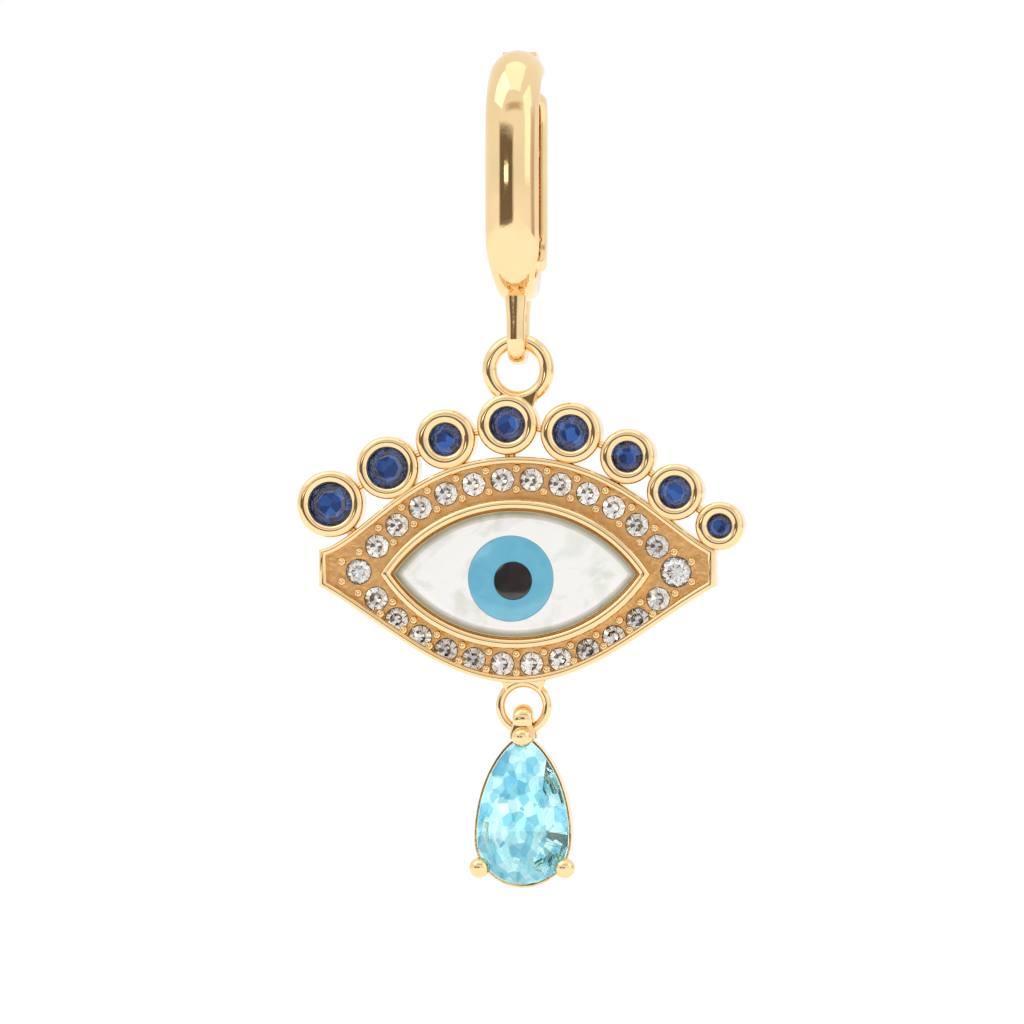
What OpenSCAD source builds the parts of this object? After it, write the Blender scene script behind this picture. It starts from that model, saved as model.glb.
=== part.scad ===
// Evil eye charm: a jewelled eye with graduated sapphire lashes, a pear-shaped drop
// below it and a hinged bail above it. Millimetres. +Z is up, the eye looks along -Y,
// and the origin is the chain seat: the inside of the hoop at its top.

/* [Bail hoop] */
// Height of the hoop, outside
hoop_h = 11.4; // [10.4:0.1:15]
// Depth of the hoop from front to back, outside
hoop_d = 6.6; // [6.4:0.1:9]
// Width of the band at the front
band_w = 2.38; // [2.2:0.02:3]
// Width of the band where it reaches the back
band_back_w = 1.7; // [1.6:0.05:2]
// Thickness of the band at the crown of its dome
band_t = 1.15; // [1:0.05:1.4]
// Thickness of the band at its edges
band_edge_t = 0.25; // [0.2:0.05:0.5]

/* [Gate and hinge] */
// Width of the gate
gate_w = 1.96; // [1.7:0.02:2.3]
// Thickness of the gate
gate_t = 0.8; // [0.6:0.05:1]
// Width of the neck between the gate and its knuckle
neck_w = 0.66; // [0.5:0.02:0.9]
// Radius of the hinge knuckles
knuckle_r = 0.5; // [0.42:0.02:0.6]
// Width of each cheek that holds the hinge pin
cheek_w = 0.4; // [0.3:0.05:0.6]
// Radius of the hinge pin
hinge_pin_r = 0.22; // [0.18:0.01:0.26]
// Place of the hinge around the hoop, in degrees from the bottom
hinge_at = 155; // [150:1:160]
// Width of the snap tab
tab_w = 0.7; // [0.5:0.05:0.9]

/* [Hanging links] */
// Radius of the hole inside the bail's loop
loop_hole_r = 0.55; // [0.5:0.01:0.7]
// Length of the hole inside the bail's loop
loop_hole_h = 1.75; // [1.5:0.05:2.2]
// Metal between the hoop and the loop's hole
loop_root = 0.35; // [0.25:0.05:0.6]
// Thickness of the loop's strap
loop_t = 0.68; // [0.5:0.02:0.9]
// Width of the loop's strap at its shoulders
loop_w = 0.8; // [0.7:0.02:1]
// Width of the loop's strap at its tip
loop_tip_w = 0.6; // [0.5:0.02:0.7]
// Wire of the upper ring
ring_wire = 0.67; // [0.55:0.01:0.75]
// Radius of the upper ring to the middle of its wire
ring_r = 1.295; // [1.2:0.01:1.6]
// Wire of the lower ring
low_wire = 0.42; // [0.36:0.01:0.46]
// Radius of the lower ring to the middle of its wire
low_r = 1.06; // [1.02:0.01:1.2]

/* [Eye frame] */
// Width of the eye over its flat ends
eye_w = 17.9; // [17.5:0.1:22]
// Height of the upper lid above the eye's centre
lid_up = 5.28; // [5.1:0.01:6.4]
// Depth of the lower lid below the eye's centre
lid_down = 4.9; // [4.7:0.01:6]
// Height of the flat ends above the eye's centre
end_up = 1.08; // [0.9:0.01:1.4]
// Depth of the flat ends below the eye's centre
end_down = 0.55; // [0.45:0.01:0.8]
// Wall of the rim
rim_wall = 0.34; // [0.28:0.01:0.4]
// Depth of the rim from front to back
rim_depth = 1.85; // [1.7:0.05:2.2]
// Thickness of the floor that holds the diamonds
floor_t = 0.8; // [0.6:0.05:1]
// Depth of the floor below the rim's front edge
floor_down = 0.4; // [0.3:0.05:0.5]

/* [Bezel and inlay] */
// Length of the bezel, outside
bezel_l = 12.3; // [11.5:0.1:12.4]
// Height of the bezel, outside
bezel_h = 6.76; // [6.2:0.02:6.8]
// Wall of the bezel at its lip
bezel_wall = 0.58; // [0.5:0.01:0.65]
// Height of the bezel above the rim
bezel_proud = 0.55; // [0.4:0.05:0.8]
// Thickness of the mother-of-pearl
pearl_t = 1.3; // [1:0.05:1.4]
// Width of the bevel around the mother-of-pearl
pearl_bevel = 0.38; // [0.2:0.02:0.5]
// Radius of the iris
iris_r = 1.92; // [1.6:0.01:2.2]
// Radius of the pupil
pupil_r = 0.85; // [0.6:0.01:1.1]

/* [Lashes] */
// Gap between neighbouring cups, which a web fills
cup_gap = 0.16; // [0.1:0.01:0.3]
// Depth of a cup from front to back
cup_depth = 1.5; // [1.3:0.05:1.7]
// Lip that folds over a sapphire
lip_t = 0.12; // [0.08:0.01:0.2]

/* [Diamonds] */
// Radius of a diamond in the two rows
gem_r = 0.52; // [0.4:0.01:0.54]
// Distance from one diamond to the next
gem_pitch = 1.32; // [1.28:0.01:1.5]
// Radius of the diamond in the left corner
left_gem_r = 0.56; // [0.45:0.01:0.62]
// Radius of the diamond in the right corner
right_gem_r = 0.68; // [0.5:0.01:0.7]
// Radius of a bead that grips a diamond
bead_r = 0.14; // [0.1:0.01:0.15]

/* [Drop] */
// Width of the pear-cut topaz
pear_w = 4.14; // [3.46:0.02:4.6]
// Height of the pear-cut topaz
pear_h = 6.58; // [6:0.02:7.4]
// Wire of the basket around the topaz
basket_wire = 0.12; // [0.1:0.01:0.2]
// Radius of a prong's ball
claw_r = 0.47; // [0.4:0.01:0.5]
// Width of the drop's loop
hanger_w = 0.84; // [0.7:0.02:0.9]

/* [Hidden] */
$fn = 64;
fit = 0.03;                 // running clearance, on the radius
slack = 0.08;               // air between two links at rest
beyond = 4;                 // how far a cutting shape runs past what it cuts

// Hoop: two half rings joined by straight legs. Angles run from the bottom to the back.
hoop_r = hoop_d / 2;
top_arc_z = band_t - hoop_r;
low_arc_z = band_t - hoop_h + hoop_r;
hoop_bottom_z = band_t - hoop_h;
hinge_arm = hoop_r - 0.27;
gate_r = hoop_r - 0.1;
gate_top = 119;             // where the gate's wide part starts
gate_end = 53;              // where the gate's lower end stops
latch_at = 50;              // where the band's lower end stops
tab_len = 9;                // degrees that the snap tab reaches past the gate
recess_depth = 0.4;
recess_wall = 0.32;
recess_above = 1.3;         // how far the recess starts below the top of the gate's leg
recess_below = 0.5;         // how far it runs past the bottom of the leg
hinge_y = hinge_arm * sin(hinge_at);
hinge_z = top_arc_z - hinge_arm * cos(hinge_at);
cheek_in = neck_w / 2 + fit;

// Links, from the hoop down to the eye
loop_seat_z = hoop_bottom_z - loop_root - loop_hole_h;
ring_top_z = loop_seat_z + ring_wire / 2 + slack;
ring_z = ring_top_z - ring_r;
shoulder_skin = 0.14;

// Eye, in its own frame: x across, z up, y = 0 in the plane of the rings
half_w = eye_w / 2;
outline_steps = 36;
flare_left = 0.8;           // how far the upper lid falls away before its left end
flare_right = 0.5;
flare_low = 0.45;
rim_front = -0.85;
rim_back = rim_front + rim_depth;
floor_front = rim_front + floor_down;
floor_back = floor_front + floor_t;
bezel_front = rim_front - bezel_proud;
bezel_r = (pow(bezel_l / 2, 2) + pow(bezel_h / 2, 2)) / bezel_h;
bezel_lip = 0.22;
pearl_inset = bezel_wall - 0.08;
pocket_inset = pearl_inset - fit;
pearl_back = bezel_front + bezel_lip + pearl_t + fit;
pearl_front = pearl_back - pearl_t;
inlay_depth = 0.45;
iris_at = [-0.2, -0.2];
pupil_at = [-0.1, -0.3];

// Lashes from left to right: cup radius, sapphire radius, height of the cup off the rim
LASHES = [[1.50, 0.945, 0.11], [1.41, 0.89, -0.09], [1.35, 0.71, -0.07], [1.37, 0.765, 0.08],
          [1.37, 0.78, -0.03], [1.24, 0.66, 0.02], [1.27, 0.70, -0.16], [1.09, 0.52, -0.03]];
crown_lash = 3;             // the cup under the upper ring
crown_foot = -0.04;         // its foot, as a share of the eye's half width
cup_front = -0.95;
cup_back = cup_front + cup_depth;
lip_w = 0.14;               // how far a cup's lip reaches in from its wall
lash_feet = [for (i = [0 : len(LASHES) - 1]) foot_of(i)];
lash_centres = [for (i = [0 : len(LASHES) - 1]) cup_centre(i, lash_feet[i])];
ring_bite = 0.5;            // how far the upper ring sinks into the crown cup
crown_centre = lash_centres[crown_lash];
crown_reach = ring_r + ring_wire / 2 + LASHES[crown_lash][0] - ring_bite;
eye_z = ring_z - crown_centre[1] - sqrt(pow(crown_reach, 2) - pow(crown_centre[0], 2));

// Diamonds: each row lies on an arc through the two corner stones
corner_x = bezel_l / 2 + 1.03;
up_rise = (bezel_h / 2 + lid_up - rim_wall) / 2 + 0.1;
low_rise = (bezel_h / 2 + lid_down - rim_wall) / 2 + 0.1;
corner_clear = 1.3;
bead_off = 0.47;
corner_z = 0.1;
gem_y = floor_front - 0.05; // front of a diamond's girdle
seat_hole_r = 0.24;

// Drop, in its own frame: the same axes as the eye, moved sideways
drop_x = 0.25;
low_ring_z = -lid_down - low_r;
low_wire_z = low_ring_z - low_r;
hanger_hole_r = 0.31;
hanger_top_t = 0.6;
hanger_side_t = 0.34;
hanger_slack = 0.37;        // the drop lies a little higher than it hangs
hanger_top_z = low_wire_z + low_wire / 2 + hanger_slack + hanger_top_t;
hanger_hole_top = hanger_top_z - hanger_top_t;
hanger_hole_bottom = low_wire_z - low_wire / 2 - slack;
pear_top_z = hanger_hole_bottom - 0.08;
pear_r = pear_w / 2;
pear_mid_z = pear_top_z - pear_h + pear_r;
pear_steps = 12;
girdle_y = -0.35;
girdle_t = 0.12;
crown_up = 0.62;
table_share = 0.56;
table_lift = 0.3;           // middle of the table above the widest place
culet_down = 1.55;
claw_turn = 34;             // angle of the lower prongs below the widest place
claw_y = -0.62;
claw_out = 0.26;            // middle of a lower prong outside the girdle
rail_gap = 0.02;
rail_back = 0.25;
low_rail_y = 0.75;
low_rail_t = 0.3;
low_rail_in = -0.04;
prong_r = 0.2;
LOW_CLAWS = [180 + claw_turn, -claw_turn];

// ---- Outlines and places -------------------------------------------------------------

// Share of a lid's height at x = u half widths: a dome that falls away near its ends
function lid(u, flare, power) = (1 - u * u) * (1 - flare * pow(abs(u), power));
function lid_up_z(x) =
    end_up + (lid_up - end_up) * lid(x / half_w, x < 0 ? flare_left : flare_right, 4);
function lid_low_z(x) = end_down + (lid_down - end_down) * lid(x / half_w, flare_low, 2);
function slope_up(x) = (lid_up_z(x + 0.01) - lid_up_z(x - 0.01)) / 0.02;
function slope_low(x) = (lid_low_z(x + 0.01) - lid_low_z(x - 0.01)) / 0.02;
function stretch(slope) = sqrt(1 + slope * slope);

// The eye's outline, moved in by `inset` square to itself
function eye_outline(inset = 0) = let (w = half_w - inset) concat(
    [for (i = [0 : outline_steps]) let (x = -w + 2 * w * i / outline_steps)
        [x, lid_up_z(x) - inset * stretch(slope_up(x))]],
    [for (i = [0 : outline_steps]) let (x = w - 2 * w * i / outline_steps)
        [x, -lid_low_z(x) + inset * stretch(slope_low(x))]]);

// Centre of cup i when its foot stands on the upper lid at x = u half widths
function cup_centre(i, u) = let (x = u * half_w, s = slope_up(x), r = LASHES[i][0] + LASHES[i][2])
    [x - r * s / stretch(s), lid_up_z(x) + r / stretch(s)];

// The foot of cup i, found by halving, so that the cup stands cup_gap from its inner neighbour
function foot_of(i) = i == crown_lash ? crown_foot :
    let (side = i < crown_lash ? -1 : 1, inner = i - side, from = foot_of(inner))
    halve(i, cup_centre(inner, from), LASHES[i][0] + LASHES[inner][0] + cup_gap,
          from, from + side * 0.6, 18);
function halve(i, inner, span, near, far, turns) = let (mid = (near + far) / 2)
    turns == 0 ? mid :
    norm(cup_centre(i, mid) - inner) < span
        ? halve(i, inner, span, mid, far, turns - 1)
        : halve(i, inner, span, near, mid, turns - 1);

// A row of stones: the arc through (corner_x, 0) that rises by `rise` at its middle
function row_r(rise) = (corner_x * corner_x + rise * rise) / (2 * rise);
function row_half_angle(rise) = asin(corner_x / row_r(rise));
function row_count(rise) =
    floor(2 * (row_r(rise) * row_half_angle(rise) * PI / 180 - corner_clear) / gem_pitch) + 1;
function row_step(rise) = gem_pitch / row_r(rise) * 180 / PI;
function row_place(rise, k, off = 0) =
    let (a = (k - (row_count(rise) - 1) / 2) * row_step(rise), r = row_r(rise))
    [(r + off) * sin(a), (r + off) * cos(a) - r + rise];

// Half width of the pear, at s from 0 at its widest place to 1 at its tip
function pear_half(s) = pear_r * pow(1 - s * s, 0.66);
function pear_outline(grow = 0) = let (tip = pear_h - pear_r + grow, n = pear_steps) concat(
    [for (i = [0 : n]) let (a = 180 * i / n) [(pear_r + grow) * cos(a), -(pear_r + grow) * sin(a)]],
    [for (i = [1 : n - 1]) let (s = sin(90 * i / n))
        [-(pear_half(s) + grow * cos(90 * i / n)), tip * s]],
    [[0, tip]],
    [for (i = [1 : n - 1]) let (s = sin(90 * (n - i) / n))
        [pear_half(s) + grow * cos(90 * (n - i) / n), tip * s]]);
function scaled(points, share, lift) = [for (p = points) [p[0] * share, (p[1] - lift) * share + lift]];

// ---- Helpers ---------------------------------------------------------------------------

module in_eye() { translate([0, 0, eye_z]) children(); }
module in_drop() { translate([drop_x, 0, eye_z]) children(); }

// A flat shape drawn in x and z, solid from y0 to y1
module slab(y0, y1) { translate([0, y1, 0]) rotate([90, 0, 0]) linear_extrude(y1 - y0) children(); }

// A round piece along y at [x, z], with radius r0 at y0 and r1 at y1
module round_y(at, y0, y1, r0, r1) {
    translate([at[0], y0, at[1]]) rotate([-90, 0, 0]) cylinder(h = y1 - y0, r1 = r0, r2 = r1);
}

// A ring in the x-z plane around [x, z]
module ring_y(at, r, wire) {
    translate([at[0], 0, at[1]]) rotate([90, 0, 0]) rotate_extrude() translate([r, 0]) circle(d = wire);
}

// A straight piece along x, centred
module bar_x(y, z, r, w) { translate([-w / 2, y, z]) rotate([0, 90, 0]) cylinder(h = w, r = r); }

// A flat shape drawn as [distance from the hoop's middle, x], turned about x
module hoop_arc(z, from, to) {
    translate([0, 0, z]) rotate([0, 90, 0]) rotate([0, 0, from]) rotate_extrude(angle = to - from)
        children();
}

// The same shape along a leg of the hoop; side is -1 in front and 1 behind
module hoop_leg(side) {
    translate([0, 0, low_arc_z]) rotate([0, 0, side * 90]) linear_extrude(top_arc_z - low_arc_z)
        children();
}

// The bezel's marquise: where two large circles meet
module marquise(inset) {
    intersection_for (side = [-1, 1]) translate([0, side * (bezel_r - bezel_h / 2)])
        circle(r = bezel_r - inset, $fn = 180);
}

// The same marquise with a slanted wall, from one inset at y0 to another at y1
module marquise_taper(inset0, inset1, y0, y1) {
    intersection_for (side = [-1, 1])
        round_y([0, side * (bezel_r - bezel_h / 2)], y0, y1, bezel_r - inset0, bezel_r - inset1);
}

// A round brilliant: table, crown, girdle and pavilion, facing -y
module brilliant(at, y, r) {
    girdle = 0.1 * r;
    round_y(at, y - 0.32 * r, y, 0.58 * r, r);
    round_y(at, y, y + girdle, r, r);
    round_y(at, y + girdle, y + girdle + 0.85 * r, r, 0.02);
}

// The seat of a brilliant: straight for `open` in front of its girdle, a cone under its
// pavilion and a hole out of the back
module gem_seat(at, y, r, back, open, hole_r = seat_hole_r) {
    girdle = 0.1 * r;
    round_y(at, y - open, y + girdle, r + fit, r + fit);
    round_y(at, y + girdle, y + girdle + 0.85 * r, r + fit, 0.02);
    round_y(at, y, back + 1, hole_r, hole_r);
}

// ---- Bail ------------------------------------------------------------------------------

module band_profile() {
    sag = band_t - band_edge_t;
    dome_r = (pow(band_w / 2, 2) + sag * sag) / (2 * sag);
    intersection() {
        translate([hoop_r - band_t, -band_w / 2]) square([band_t, band_w]);
        translate([hoop_r - dome_r, 0]) circle(r = dome_r);
    }
}

module bail_band() {
    half = band_w / 2;
    back = band_back_w / 2;
    color("gold") difference() {
        union() {
            intersection() {
                union() {
                    hoop_arc(top_arc_z, hinge_at, 270) band_profile();
                    hoop_leg(-1) band_profile();
                    hoop_arc(low_arc_z, 270, 360 + latch_at) band_profile();
                }
                translate([0, 0, hoop_bottom_z - beyond]) linear_extrude(hoop_h + 2 * beyond)
                    polygon([[-half, -hoop_r - 1], [half, -hoop_r - 1], [half, 0],
                             [back, hoop_r * 0.6], [back, hoop_r + 1],
                             [-back, hoop_r + 1], [-back, hoop_r * 0.6], [-half, 0]]);
            }
            bar_x(hinge_y, hinge_z, knuckle_r, 2 * (cheek_in + cheek_w));
        }
        bar_x(hinge_y, hinge_z, knuckle_r + 0.08, 2 * cheek_in);
        bar_x(hinge_y, hinge_z, hinge_pin_r, band_w + beyond);
        intersection() {
            hoop_arc(low_arc_z, latch_at - tab_len - 2, latch_at + 2) slot_profile();
            translate([0, 0, hoop_bottom_z]) cube([tab_w + 0.16, hoop_d + 2, hoop_h], center = true);
        }
    }
}

module slot_profile() { translate([gate_r - gate_t + 0.1, -gate_w / 2]) square([2, gate_w]); }

module gate_profile(w) { translate([gate_r - gate_t, -w / 2]) square([gate_t, w]); }

module bail_gate() {
    color("gold") difference() {
        union() {
            hoop_arc(top_arc_z, 90, gate_top) gate_profile(gate_w);
            hoop_arc(top_arc_z, gate_top - 4, hinge_at - 5) gate_profile(neck_w);
            hoop_leg(1) gate_profile(gate_w);
            hoop_arc(low_arc_z, gate_end, 90) gate_profile(gate_w);
            bar_x(hinge_y, hinge_z, knuckle_r, neck_w);
        }
        bar_x(hinge_y, hinge_z, hinge_pin_r + fit, beyond);
        translate([-(gate_w / 2 - recess_wall), 0, low_arc_z - recess_below])
            cube([gate_w - 2 * recess_wall, gate_r - gate_t + recess_depth,
                  top_arc_z - low_arc_z + recess_below - recess_above]);
    }
}

module latch_tab() {
    color("gold") hoop_arc(low_arc_z, gate_end - tab_len, gate_end)
        translate([gate_r - gate_t + 0.2, -tab_w / 2]) square([gate_t - 0.4, tab_w]);
}

module hinge_pin() { color("goldenrod") bar_x(hinge_y, hinge_z, hinge_pin_r, 2 * (cheek_in + cheek_w)); }

module bail_loop() {
    low = loop_seat_z + loop_hole_r;
    high = loop_seat_z + loop_hole_h - loop_hole_r;
    top = hoop_bottom_z + 0.6;
    tip_z = loop_seat_z - loop_t;
    out_r = loop_hole_r + loop_t;
    color("gold") difference() {
        intersection() {
            union() {
                bar_x(0, low, out_r, loop_w);
                translate([-loop_w / 2, -out_r, low]) cube([loop_w, 2 * out_r, top - low]);
            }
            translate([0, hoop_r, 0]) rotate([90, 0, 0]) linear_extrude(hoop_d) union() {
                translate([0, tip_z + loop_tip_w / 2]) circle(d = loop_tip_w);
                polygon([[-loop_tip_w / 2, tip_z + loop_tip_w / 2], [loop_tip_w / 2, tip_z + loop_tip_w / 2],
                         [loop_w / 2, low + 0.2], [loop_w / 2, low_arc_z],
                         [-loop_w / 2, low_arc_z], [-loop_w / 2, low + 0.2]]);
            }
        }
        bar_x(0, low, loop_hole_r, beyond);
        bar_x(0, high, loop_hole_r, beyond);
        translate([-beyond / 2, -loop_hole_r, low]) cube([beyond, 2 * loop_hole_r, high - low]);
        hoop_arc(low_arc_z, 300, 420) band_profile();
    }
}

// ---- Upper ring --------------------------------------------------------------------------

module top_ring() { color("gold") ring_y([0, ring_z], ring_r, ring_wire); }

// Room for the upper ring, in the eye's frame
module top_ring_room() { ring_y([0, ring_z - eye_z], ring_r, ring_wire + 2 * fit); }

// Shoulders that hold the ring on top of the crown cup
module ring_shoulders() {
    z = ring_z - eye_z;
    inner_z = z - ring_r + ring_wire / 2;
    depth = ring_wire / 2 + shoulder_skin;
    color("gold") in_eye() difference() {
        slab(-depth, depth) polygon([[-1, inner_z], [1, inner_z], [0.72, inner_z - 0.75],
                                     [-0.72, inner_z - 0.75]]);
        top_ring_room();
        round_y(crown_centre, -beyond, beyond, LASHES[crown_lash][0], LASHES[crown_lash][0]);
    }
}

// ---- Eye -----------------------------------------------------------------------------------

module lash_rooms() {
    for (i = [0 : len(LASHES) - 1])
        round_y(lash_centres[i], -beyond, beyond, LASHES[i][0], LASHES[i][0]);
}

module eye_frame() {
    color("gold") in_eye() difference() {
        union() {
            difference() {
                slab(rim_front, rim_back) polygon(eye_outline());
                slab(rim_front - 1, rim_back + 1) polygon(eye_outline(rim_wall));
            }
            slab(floor_front, floor_back) polygon(eye_outline(rim_wall - 0.02));
        }
        slab(-beyond, beyond) marquise(0);
        for (rise = [up_rise, -low_rise]) for (k = [0 : row_count(abs(rise)) - 1])
            gem_seat(row_at(rise, k), gem_y, gem_r, floor_back, gem_r);
        gem_seat([-corner_x, corner_z], gem_y, left_gem_r, floor_back, gem_r);
        gem_seat([corner_x, corner_z], gem_y, right_gem_r, floor_back, gem_r);
        lash_rooms();
        translate([drop_x, 0, 0]) ring_y([0, low_ring_z], low_r, low_wire + 2 * fit);
    }
}

// A place in a row; a negative rise is the lower row
function row_at(rise, k, off = 0) = let (p = row_place(abs(rise), k, off)) [p[0], sign(rise) * p[1]];

module eye_bezel() {
    color("gold") in_eye() difference() {
        slab(bezel_front, rim_back) marquise(0);
        slab(bezel_front - 1, rim_back + 1) marquise(bezel_wall);
        slab(bezel_front + bezel_lip, rim_back + 1) marquise(pocket_inset);
    }
}

module back_plate() {
    color("gold") in_eye() slab(pearl_back, rim_back) marquise(pocket_inset);
}

module mother_of_pearl() {
    bevel_y = pearl_front + pearl_bevel * 0.45;
    color("ivory") in_eye() difference() {
        union() {
            slab(bevel_y, pearl_back) marquise(pearl_inset);
            marquise_taper(pearl_inset + pearl_bevel, pearl_inset, pearl_front, bevel_y);
        }
        round_y(iris_at, pearl_front - 1, pearl_front + inlay_depth, iris_r, iris_r);
    }
}

module iris_disc() {
    color("skyblue") in_eye() difference() {
        round_y(iris_at, pearl_front, pearl_front + inlay_depth, iris_r, iris_r);
        round_y(pupil_at, pearl_front - 1, pearl_front + inlay_depth + 1, pupil_r, pupil_r);
    }
}

module pupil_disc() {
    color("black") in_eye() round_y(pupil_at, pearl_front, pearl_front + inlay_depth, pupil_r, pupil_r);
}

// ---- Lashes ----------------------------------------------------------------------------------

// A cup's wall, and the front of its sapphire's girdle, just behind the lip
function cup_wall(i) = LASHES[i][0] - LASHES[i][1] - lip_w;
function cup_stone_y(i) = cup_front + cup_wall(i) / 2 + lip_t + 0.05;

module lash_cup(i) {
    r = LASHES[i][0];
    stone = LASHES[i][1];
    wall = cup_wall(i);
    lip_y = cup_front + wall / 2;
    at = lash_centres[i];
    color("gold") in_eye() difference() {
        translate([at[0], 0, at[1]]) rotate([90, 0, 0]) rotate_extrude() union() {
            translate([0, -cup_back]) square([r, cup_depth - wall / 2]);
            translate([r - wall / 2, -cup_front - wall / 2]) circle(d = wall);
        }
        round_y(at, cup_front - 1, lip_y, stone + lip_w, stone + lip_w);
        round_y(at, lip_y - 0.01, lip_y + lip_t + 0.01, stone, stone);
        gem_seat(at, cup_stone_y(i), stone + fit, cup_back, 0.05, 0.5 * stone);
        if (i == crown_lash) top_ring_room();
    }
}

module lash_sapphire(i) {
    color("midnightblue") in_eye() brilliant(lash_centres[i], cup_stone_y(i), LASHES[i][1] + fit);
}

// Webs that tie each cup to the next one and to the rim
module lash_webs() {
    color("gold") in_eye() difference() {
        union() {
            for (i = [0 : len(LASHES) - 2]) {
                a = lash_centres[i];
                b = lash_centres[i + 1];
                web(a, b, LASHES[i][0] - 0.2, norm(b - a) - LASHES[i + 1][0] + 0.2, 0.5);
            }
            for (i = [0 : len(LASHES) - 1]) {
                x = lash_feet[i] * half_w;
                web(lash_centres[i], [x, lid_up_z(x)], LASHES[i][0] - 0.2,
                    LASHES[i][0] + LASHES[i][2] + 0.25, 0.7);
            }
        }
        lash_rooms();
        slab(-beyond, beyond) polygon(eye_outline());
    }
}

// A flat web on the line from a towards b, between two distances from a
module web(a, b, from, to, w) {
    translate([a[0], 0, a[1]]) rotate([0, -atan2(b[1] - a[1], b[0] - a[0]), 0])
        translate([from, -0.4, -w / 2]) cube([to - from, 0.8, w]);
}

// ---- Diamonds ----------------------------------------------------------------------------------

module diamond_row(rise) {
    color("lightcyan") in_eye() for (k = [0 : row_count(abs(rise)) - 1])
        brilliant(row_at(rise, k), gem_y, gem_r);
}

module corner_diamond(side, r) {
    color("lightcyan") in_eye() brilliant([side * corner_x, corner_z], gem_y, r);
}

// Beads between the stones, on both sides of each row, and two behind each corner stone
module pave_beads() {
    color("gold") in_eye() {
        for (rise = [up_rise, -low_rise]) for (k = [0 : row_count(abs(rise))]) {
            bead(row_at(rise, k - 0.5, bead_off));
            if (k > 0 && k < row_count(abs(rise))) bead(row_at(rise, k - 0.5, -bead_off));
        }
        for (side = [-1, 1]) for (up = [-1, 1])
            bead([side * (corner_x + 0.74), corner_z + up * 0.45]);
    }
}

// Half a ball on the floor
module bead(at) {
    translate([at[0], floor_front, at[1]]) rotate([90, 0, 0]) intersection() {
        sphere(r = bead_r, $fn = 24);
        translate([-1, -1, 0]) cube([2, 2, 1]);
    }
}

// ---- Lower ring and drop -------------------------------------------------------------------------

module low_ring() { color("gold") in_drop() ring_y([0, low_ring_z], low_r, low_wire); }

// Shoulders that hold the lower ring under the rim
module low_ring_shoulders() {
    top = low_ring_z + low_r + 0.25;
    low = low_ring_z + low_r - low_wire / 2;
    depth = low_wire / 2 + shoulder_skin;
    color("gold") in_eye() difference() {
        translate([drop_x, 0, 0]) slab(-depth, depth)
            polygon([[-1.1, top], [1.1, top], [0.85, low - 0.15], [-0.85, low - 0.15]]);
        translate([drop_x, 0, 0]) ring_y([0, low_ring_z], low_r, low_wire + 2 * fit);
        round_y([drop_x, low_ring_z], -beyond, beyond, low_r - low_wire / 2, low_r - low_wire / 2);
        slab(-beyond, beyond) polygon(eye_outline());
    }
}

// Front of the drop's loop: a round top, and sides that spread towards the pear
function hanger_outline() = let (r = hanger_w / 2, wide = r + 0.14, low = pear_top_z - 0.4) concat(
    [for (i = [0 : 16]) let (a = 180 * i / 16) [r * cos(a), hanger_top_z - r + r * sin(a)]],
    [[-wide, pear_top_z], [-wide, low], [wide, low], [wide, pear_top_z]]);

// Loop of the drop, seen edge on from the front
module drop_hanger() {
    top_r = hanger_hole_r + hanger_side_t;
    hole_high = hanger_hole_top - hanger_hole_r;
    hole_low = hanger_hole_bottom + hanger_hole_r;
    color("gold") in_drop() difference() {
        intersection() {
            union() {
                bar_x(0, hanger_top_z - top_r, top_r, hanger_w + 0.4);
                translate([-hanger_w, -top_r, pear_top_z - 0.4])
                    cube([2 * hanger_w, 2 * top_r, hanger_top_z - top_r - pear_top_z + 0.4]);
            }
            slab(-beyond, beyond) polygon(hanger_outline());
        }
        bar_x(0, hole_high, hanger_hole_r, beyond);
        bar_x(0, hole_low, hanger_hole_r, beyond);
        translate([-beyond / 2, -hanger_hole_r, hole_low])
            cube([beyond, 2 * hanger_hole_r, hole_high - hole_low]);
        translate([0, 0, pear_mid_z]) {
            slab(-beyond, rail_back) polygon(pear_outline(rail_gap + basket_wire));
            claw_ball(90);
        }
    }
}

// The basket: a rail around the girdle and a smaller rail behind it, which the prongs tie together
module drop_basket() {
    color("gold") in_drop() translate([0, 0, pear_mid_z]) {
        rail(girdle_y, rail_back, rail_gap);
        rail(low_rail_y, low_rail_y + low_rail_t, low_rail_in);
    }
}

// A rail that follows the pear, `grow` outside its girdle, with room for the two prongs
module rail(y0, y1, grow) {
    difference() {
        slab(y0, y1) polygon(pear_outline(grow + basket_wire));
        slab(y0 - 1, y1 + 1) polygon(pear_outline(grow));
        for (a = LOW_CLAWS) claw_rod(a, prong_r);
        claw_ball(90);
    }
}

// Middle of a prong, in the pear's own frame
function claw_at(a) = a == 90 ? [0, pear_h - pear_r + 0.06]
                              : [for (c = [cos(a), sin(a)]) (pear_r + claw_out) * c];

module claw_ball(a) { p = claw_at(a); translate([p[0], claw_y, p[1]]) sphere(r = claw_r); }

module claw_rod(a, r) { round_y(claw_at(a), claw_y, low_rail_y + low_rail_t, r, r); }

// A prong: a ball that laps over the crown, and for the lower two the rod that carries it
module drop_claw(a) {
    color("gold") in_drop() translate([0, 0, pear_mid_z]) difference() {
        union() {
            claw_ball(a);
            if (a != 90) claw_rod(a, prong_r);
        }
        pear_gem(0.02);
    }
}

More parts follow.
